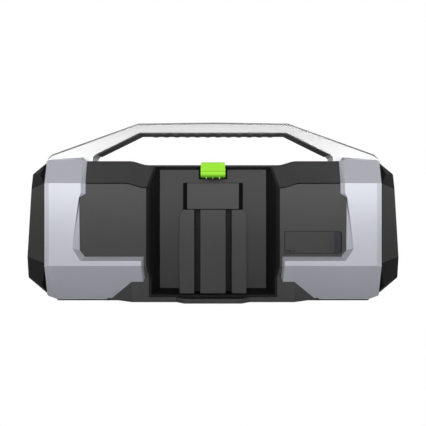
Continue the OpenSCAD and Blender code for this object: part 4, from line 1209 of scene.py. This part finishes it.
@dataclass
class PortPanel:
    """The hinged cover and the sockets behind it.

    Attributes:
        edge: width of the softened edges, in metres.
        sunk: how deep the ribs and the slit reach into the cover.
        grips: places of the two upright grip ribs along X.
        rib_half: half the width of a rib.
        rib_height: how far a rib stands out.
        margin: distance of a rib's ends from the cover's edges.
        slit: ends of the drain slit along X.
        slit_half: half the height of the slit.
        slit_height: how far the slit's strip stands out.
        slit_rise: height of the slit and the dimple above the cover's lower edge.
        dimple_x: place of the dimple along X.
        dimple: radius of its rim.
        rim: radius of the rim's bead.
        stations: number of points along a rib or the slit.
    """

    edge: float = 0.35 * MM
    sunk: float = 0.1 * MM
    grips: tuple[float, float] = (138.6 * MM, 140.6 * MM)
    rib_half: float = 0.35 * MM
    rib_height: float = 0.3 * MM
    margin: float = 1.2 * MM
    slit: tuple[float, float] = (86.0 * MM, 93.0 * MM)
    slit_half: float = 0.45 * MM
    slit_height: float = 0.1 * MM
    slit_rise: float = 2.6 * MM
    dimple_x: float = 95.8 * MM
    dimple: float = 1.0 * MM
    rim: float = 0.22 * MM
    stations: int = 9

    def marks(self) -> None:
        """Sets the ribs on the cover's face, and the slit and the dimple's rim as painted shadow.

        A rib and the slit are bars along straight lines, and the rim is a bead round a circle.
        """
        low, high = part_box("port_cover")
        foot = low[2] + self.margin
        top = high[2] - self.margin
        rib = bar(self.rib_half, -self.sunk, self.rib_height)
        ribs = [swept(np.linspace((x, low[1], foot), (x, low[1], top), self.stations), rib, TO_FRONT)
                for x in self.grips]
        new_piece("cover_ribs", ribs, Coat.COVER, "port_door")
        level = low[2] + self.slit_rise
        line = np.linspace(*((x, low[1], level) for x in self.slit), self.stations)
        slit = swept(line, bar(self.slit_half, -self.sunk, self.slit_height), TO_FRONT)
        circle = np.insert(ring((self.dimple_x, level), self.dimple, 24), 1, low[1], axis=1)
        rim = swept(circle, bead(self.rim, 8), TO_FRONT, around=True)
        # painted shadow: the slit and the dimple's rim are dark strips
        new_piece("cover_mark_shadows", [slit, rim], Coat.SEAM, "port_door")

    def build(self) -> None:
        """Dresses the cover, its pin, the tray and the sockets."""
        dress(Coat.COVER, "port_cover")
        self.marks()
        dress(Coat.BLACK, "port_panel", "aux_jack")
        dress(Coat.SOCKET, "usb_sockets")
        dress(Coat.HOLDER, "port_hinge_pin")
        soften(self.edge, "port_panel")


@dataclass
class Controls:
    """The control panel with its five keys, their signs and rims, and the light bar.

    Attributes:
        panel_edge: width of the panel's softened edges, in metres.
        light_edge: width of the light bar's softened edges.
        key_edge: width of the keys' softened edges.
        sign: half the size of a sign.
        stroke: half the width of its lines.
        ink: how far a sign stands out of its key.
        flange: how much a key's hidden flange is wider than its upper part, on each side.
        rim_radius: thickness of the ring round each key, as a radius.
        rim_gap: distance from a key to the middle of its ring.
        rim_points: number of points round a ring.
    """

    panel_edge: float = 0.5 * MM
    light_edge: float = 0.3 * MM
    key_edge: float = 0.7 * MM
    sign: float = 2.9 * MM
    stroke: float = 0.38 * MM
    ink: float = 0.12 * MM
    flange: float = 1.2 * MM
    rim_radius: float = 0.45 * MM
    rim_gap: float = 0.75 * MM
    rim_points: int = 48

    @staticmethod
    def lines(mark: Mark) -> list[tuple[np.ndarray, bool]]:
        """The lines of one sign, in shares of its size: u to the right and v upwards.

        Args:
            mark: the sign.
        Returns:
            Each line's points and whether it is closed.
        """
        level = (np.array([[-0.95, 0.0], [0.95, 0.0]]), False)
        upright = (level[0][:, ::-1], False)
        if mark is Mark.MINUS:
            return [level]
        if mark is Mark.PLUS:
            return [level, upright]
        if mark is Mark.POWER:
            return [(arc((0, 0), 0.9, 125, 415), False), (np.array([[0, 0.1], [0, 1.15]]), False)]
        if mark is Mark.PLAY:
            pair = [(np.array([[u, -0.8], [u, 0.8]]), False) for u in (0.5, 1.0)]
            return [(np.array([[-0.9, -0.8], [0.1, 0.0], [-0.9, 0.8]]), True), *pair]
        source = (0, -0.75)
        waves = [(arc(source, radius, 40, 140), False) for radius in (0.75, 1.3, 1.85)]
        return [(arc(source, 0.14, 0, 330, 12), True), *waves]

    def key(self, mark: Mark) -> Shell:
        """Dresses one key and draws its sign.

        Signs stand upright for someone in front of the grille, so u runs along -X and v along -Y.

        Args:
            mark: the key's sign.
        Returns:
            The shell of the ring round the key.
        """
        key = mark.value
        low, high = np.array(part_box(key))
        middle = (low + high) / 2
        dress(Coat.KEY, key)
        soften(self.key_edge, key, segments=3)
        shells = []
        for points, closed in self.lines(mark):
            path = np.insert(middle[:2] - points * self.sign, 2, high[2], axis=1)
            shells.append(swept(path, bar(self.stroke, -self.ink, self.ink), UP, closed))
        body = key.replace("_button", "_key")
        new_piece(f"{key}_sign", shells, Coat.ICON, body, rounded=False)
        reach = (high[0] - low[0]) / 2 - self.flange + self.rim_gap
        circle = ring((middle[0], middle[1]), reach, self.rim_points)
        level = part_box("control_panel")[1][2]
        return swept(np.insert(circle, 2, level, axis=1), bead(self.rim_radius), UP, around=True)

    def build(self) -> None:
        """Dresses the panel, the light bar and the keys, and lays the rings."""
        dress(Coat.BLACK, "control_panel")
        dress(Coat.LENS, "status_light")
        soften(self.panel_edge, "control_panel")
        soften(self.light_edge, "status_light")
        new_piece("key_rims", [self.key(mark) for mark in Mark], Coat.BLACK, "case")


@dataclass
class Sound:
    """The grille, the four drivers in front and the two radiators in the ends.

    Attributes:
        grille_edge: width of the grille's softened edges, in metres.
        edge: width of the radiators' softened edges.
        sharpness: angle in degrees over which a radiator's edge is softened.
    """

    grille_edge: float = 0.35 * MM
    edge: float = 0.4 * MM
    sharpness: float = 40.0

    def build(self) -> None:
        """Dresses every sound piece."""
        dress(Coat.GRILLE, "front_grille")
        soften(self.grille_edge, "front_grille", segments=1)
        for side in Side:
            end = side.value
            dress(Coat.BASKET, f"{end}_woofer_basket")
            dress(Coat.FERRITE, f"{end}_woofer_magnet")
            dress(Coat.RUBBER, f"{end}_woofer_surround", f"{end}_radiator_surround")
            dress(Coat.CONE, f"{end}_woofer_cone")
            dress(Coat.BLACK, f"{end}_tweeter_frame", f"{end}_radiator_frame")
            dress(Coat.DOME, f"{end}_tweeter_dome")
            dress(Coat.PLATE, f"{end}_radiator_plate")
            soften(self.edge, f"{end}_radiator_frame", f"{end}_radiator_plate", angle=self.sharpness)


@dataclass
class Inside:
    """The board, its parts, the heat sink and the wires.

    Attributes:
        edge: width of the softened edges, in metres.
    """

    edge: float = 0.25 * MM

    def build(self) -> None:
        """Dresses the pieces inside the case."""
        dress(Coat.BOARD, "amp_board")
        dress(Coat.PARTS, "board_parts")
        dress(Coat.WIRE, "wiring")
        dress(Coat.SINK, "heat_sink")
        soften(self.edge, "board_parts", "heat_sink")


@dataclass
class Fasteners:
    """The screws, with the painted shadow of a six-lobed recess in each head under the guards.

    Attributes:
        recess: mean radius of a recess in metres.
        lobe: how far its lobes reach in and out.
        lobes: number of lobes.
        points: number of points round a recess.
        ends: lower and upper end of a recess's plug, over the heads' lowest point.
        places: distances of the screws from the middle along X and Y.
    """

    recess: float = 1.5 * MM
    lobe: float = 0.25 * MM
    lobes: int = 6
    points: int = 48
    ends: tuple[float, float] = (-0.02 * MM, 0.3 * MM)
    places: tuple[tuple[float, float], ...] = ((140 * MM, 24 * MM), (178 * MM, 24 * MM))

    def build(self) -> None:
        """Dresses the screws and sets a dark lobed plug, the painted shadow of a recess, in each head
        under the guards.

        A plug's outline is recess plus lobe times the cosine of lobes times the angle.
        """
        dress(Coat.STEEL, "case_screws", "guard_screws", "driver_screws")
        low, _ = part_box("guard_screws")
        turn = np.arange(self.points) * FULL_TURN / self.points
        reach = self.recess + self.lobe * np.cos(self.lobes * turn)
        outline = np.stack([reach * np.cos(turn), reach * np.sin(turn)], -1)
        faces = grid_faces(2, self.points, False)
        shells = []
        for x, y in self.places:
            for sx, sy in ((-1, -1), (-1, 1), (1, -1), (1, 1)):
                around = outline + np.array([sx * x, sy * y])
                levels = [np.insert(around, 2, low[2] + end, axis=1) for end in self.ends]
                shells.append((np.vstack(levels), faces))
        # painted shadow: dark plugs stand for the recesses
        new_piece("screw_recess_shadows", shells, Coat.SEAM, "case", rounded=False)


@dataclass(frozen=True)
class Lamp:
    """One soft area lamp.

    Attributes:
        name: its name.
        place: where it hangs, in metres.
        aim: the point it faces.
        width: its width.
        height: its height.
        watts: its power.
        spread: angle that its grid lets through, in degrees.
    """

    name: str
    place: tuple[float, float, float]
    aim: tuple[float, float, float]
    width: float
    height: float
    watts: float
    spread: float = 180.0

    def hang(self) -> None:
        """Makes the lamp, which the camera doesn't see."""
        data = bpy.data.lights.new(self.name, "AREA")
        data.energy = self.watts
        data.shape = "RECTANGLE"
        data.size = self.width
        data.size_y = self.height
        data.spread = math.radians(self.spread)
        lamp = bpy.data.objects.new(self.name, data)
        lamp.location = self.place
        lamp.rotation_euler = (Vector(self.aim) - Vector(self.place)).to_track_quat("-Z", "Y").to_euler()
        lamp.visible_camera = False
        bpy.context.scene.collection.objects.link(lamp)


@dataclass
class Studio:
    """Floor, world, lamps and camera, set at the photograph's viewing angle.

    Attributes:
        focal: focal length in pixels of the 426 pixel frame.
        side: side of the frame in pixels.
        sensor: width of the camera's sensor in millimetres.
        eye: place of the camera in metres.
        nearest: distance in metres from which the camera sees.
        ambient: strength of the world on the object.
        floor_half: half the side of the floor in metres.
        floor_roughness: roughness of the floor.
        lamps: the lamps.
    """

    focal: float = 504.0
    side: float = 426.0
    sensor: float = 36.0
    eye: tuple[float, float, float] = (0.0, -0.680, 0.110)
    nearest: float = 0.01
    ambient: float = 0.03
    floor_half: float = 3.0
    floor_roughness: float = 0.9
    lamps: tuple[Lamp, ...] = (
        Lamp("low", (0.0, -0.60, 0.02), (0.0, 0.0, 0.02), 1.4, 0.04, 0.270, 25.0),
        Lamp("middle", (0.0, -0.60, 0.12), (0.0, 0.0, 0.12), 1.4, 0.04, 0.262, 22.0),
        Lamp("upper", (0.0, -0.60, 0.20), (0.0, 0.0, 0.20), 1.4, 0.04, 0.470, 26.0),
        Lamp("high", (0.0, -0.60, 0.40), (0.0, 0.0, 0.14), 1.4, 0.04, 0.020, 25.0),
        Lamp("back", (0.0, 1.3, 1.05), (0.0, 0.0, 0.11), 1.4, 0.8, 19.0),
        Lamp("left", (-1.4, 1.5, 0.50), (-0.2, 0.0, 0.11), 0.8, 0.8, 8.0),
        Lamp("right", (1.4, 1.5, 0.50), (0.2, 0.0, 0.11), 0.8, 0.8, 8.0),
    )

    def camera(self) -> None:
        """Makes the camera, level and looking along +Y."""
        data = bpy.data.cameras.new("camera")
        data.sensor_width = self.sensor
        data.lens = self.sensor * self.focal / self.side
        data.clip_start = self.nearest
        camera = bpy.data.objects.new("camera", data)
        camera.location = self.eye
        camera.rotation_euler = (math.radians(90), 0, 0)
        bpy.context.scene.collection.objects.link(camera)
        bpy.context.scene.camera = camera

    @staticmethod
    def show_white(net: Wiring, lit: Socket, shown: Socket, output: bpy.types.Node) -> None:
        """Joins two shaders: rays from the camera, gloss and glass see the white one.

        Args:
            net: the wiring of the world or the floor.
            lit: the shader that the object gets its light from.
            shown: the white one.
            output: the output node.
        """
        path = net.add("LightPath")
        bright = net.math("MAXIMUM", path.outputs["Is Glossy Ray"], path.outputs["Is Transmission Ray"])
        share = net.math("MAXIMUM", path.outputs["Is Camera Ray"], bright)
        mix = net.add("MixShader")
        for place, value in enumerate((share, lit, shown)):
            net.put(mix, place, value)
        net.put(output, "Surface", mix.outputs[0])

    def world(self) -> None:
        """Sets the even world light."""
        world = bpy.data.worlds.new("studio")
        bpy.context.scene.world = world
        world.use_nodes = True
        net = Wiring(world.node_tree)
        plain = world.node_tree.nodes["Background"]
        net.put(plain, "Color", (1, 1, 1, 1))
        net.put(plain, "Strength", self.ambient)
        shown = net.add("Background", Color=(1, 1, 1, 1), Strength=1.0)
        self.show_white(net, plain.outputs[0], shown.outputs[0], world.node_tree.nodes["World Output"])

    def floor(self) -> None:
        """Lays a pale floor that shows white and takes the light as any floor does."""
        material = bpy.data.materials.new("floor")
        material.use_nodes = True
        net = Wiring(material.node_tree)
        shader = net.tree.nodes["Principled BSDF"]
        net.put(shader, "Base Color", Shade.FLOOR.linear())
        net.put(shader, "Roughness", self.floor_roughness)
        glow = net.add("Emission", Strength=1.0)
        self.show_white(net, shader.outputs[0], glow.outputs[0], net.tree.nodes["Material Output"])
        half = self.floor_half
        mesh = bpy.data.meshes.new("floor")
        mesh.from_pydata([(-half, -half, 0), (half, -half, 0), (half, half, 0), (-half, half, 0)], [],
                         [(0, 1, 2, 3)])
        mesh.materials.append(material)
        floor = bpy.data.objects.new("floor", mesh)
        bpy.context.scene.collection.objects.link(floor)

    def build(self) -> None:
        """Makes the whole studio."""
        self.camera()
        self.world()
        self.floor()
        for lamp in self.lamps:
            lamp.hang()
        bpy.context.scene.view_settings.view_transform = "Standard"


def main() -> None:
    """Builds the studio, the finishes and every sub-assembly."""
    Studio().build()
    effects = Effects()
    MATERIALS.update({coat: coat.value.build(effects) for coat in Coat})
    for assembly in (Body(), BatteryBay(), Guards(), Handle(), PortPanel(), Controls(), Sound(), Inside(),
                     Fasteners()):
        assembly.build()
    bare = [name for name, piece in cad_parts.items() if not piece.data.materials]
    LOG.info("nodes left without a finish: %s", bare)


if __name__ == "__main__":
    main()
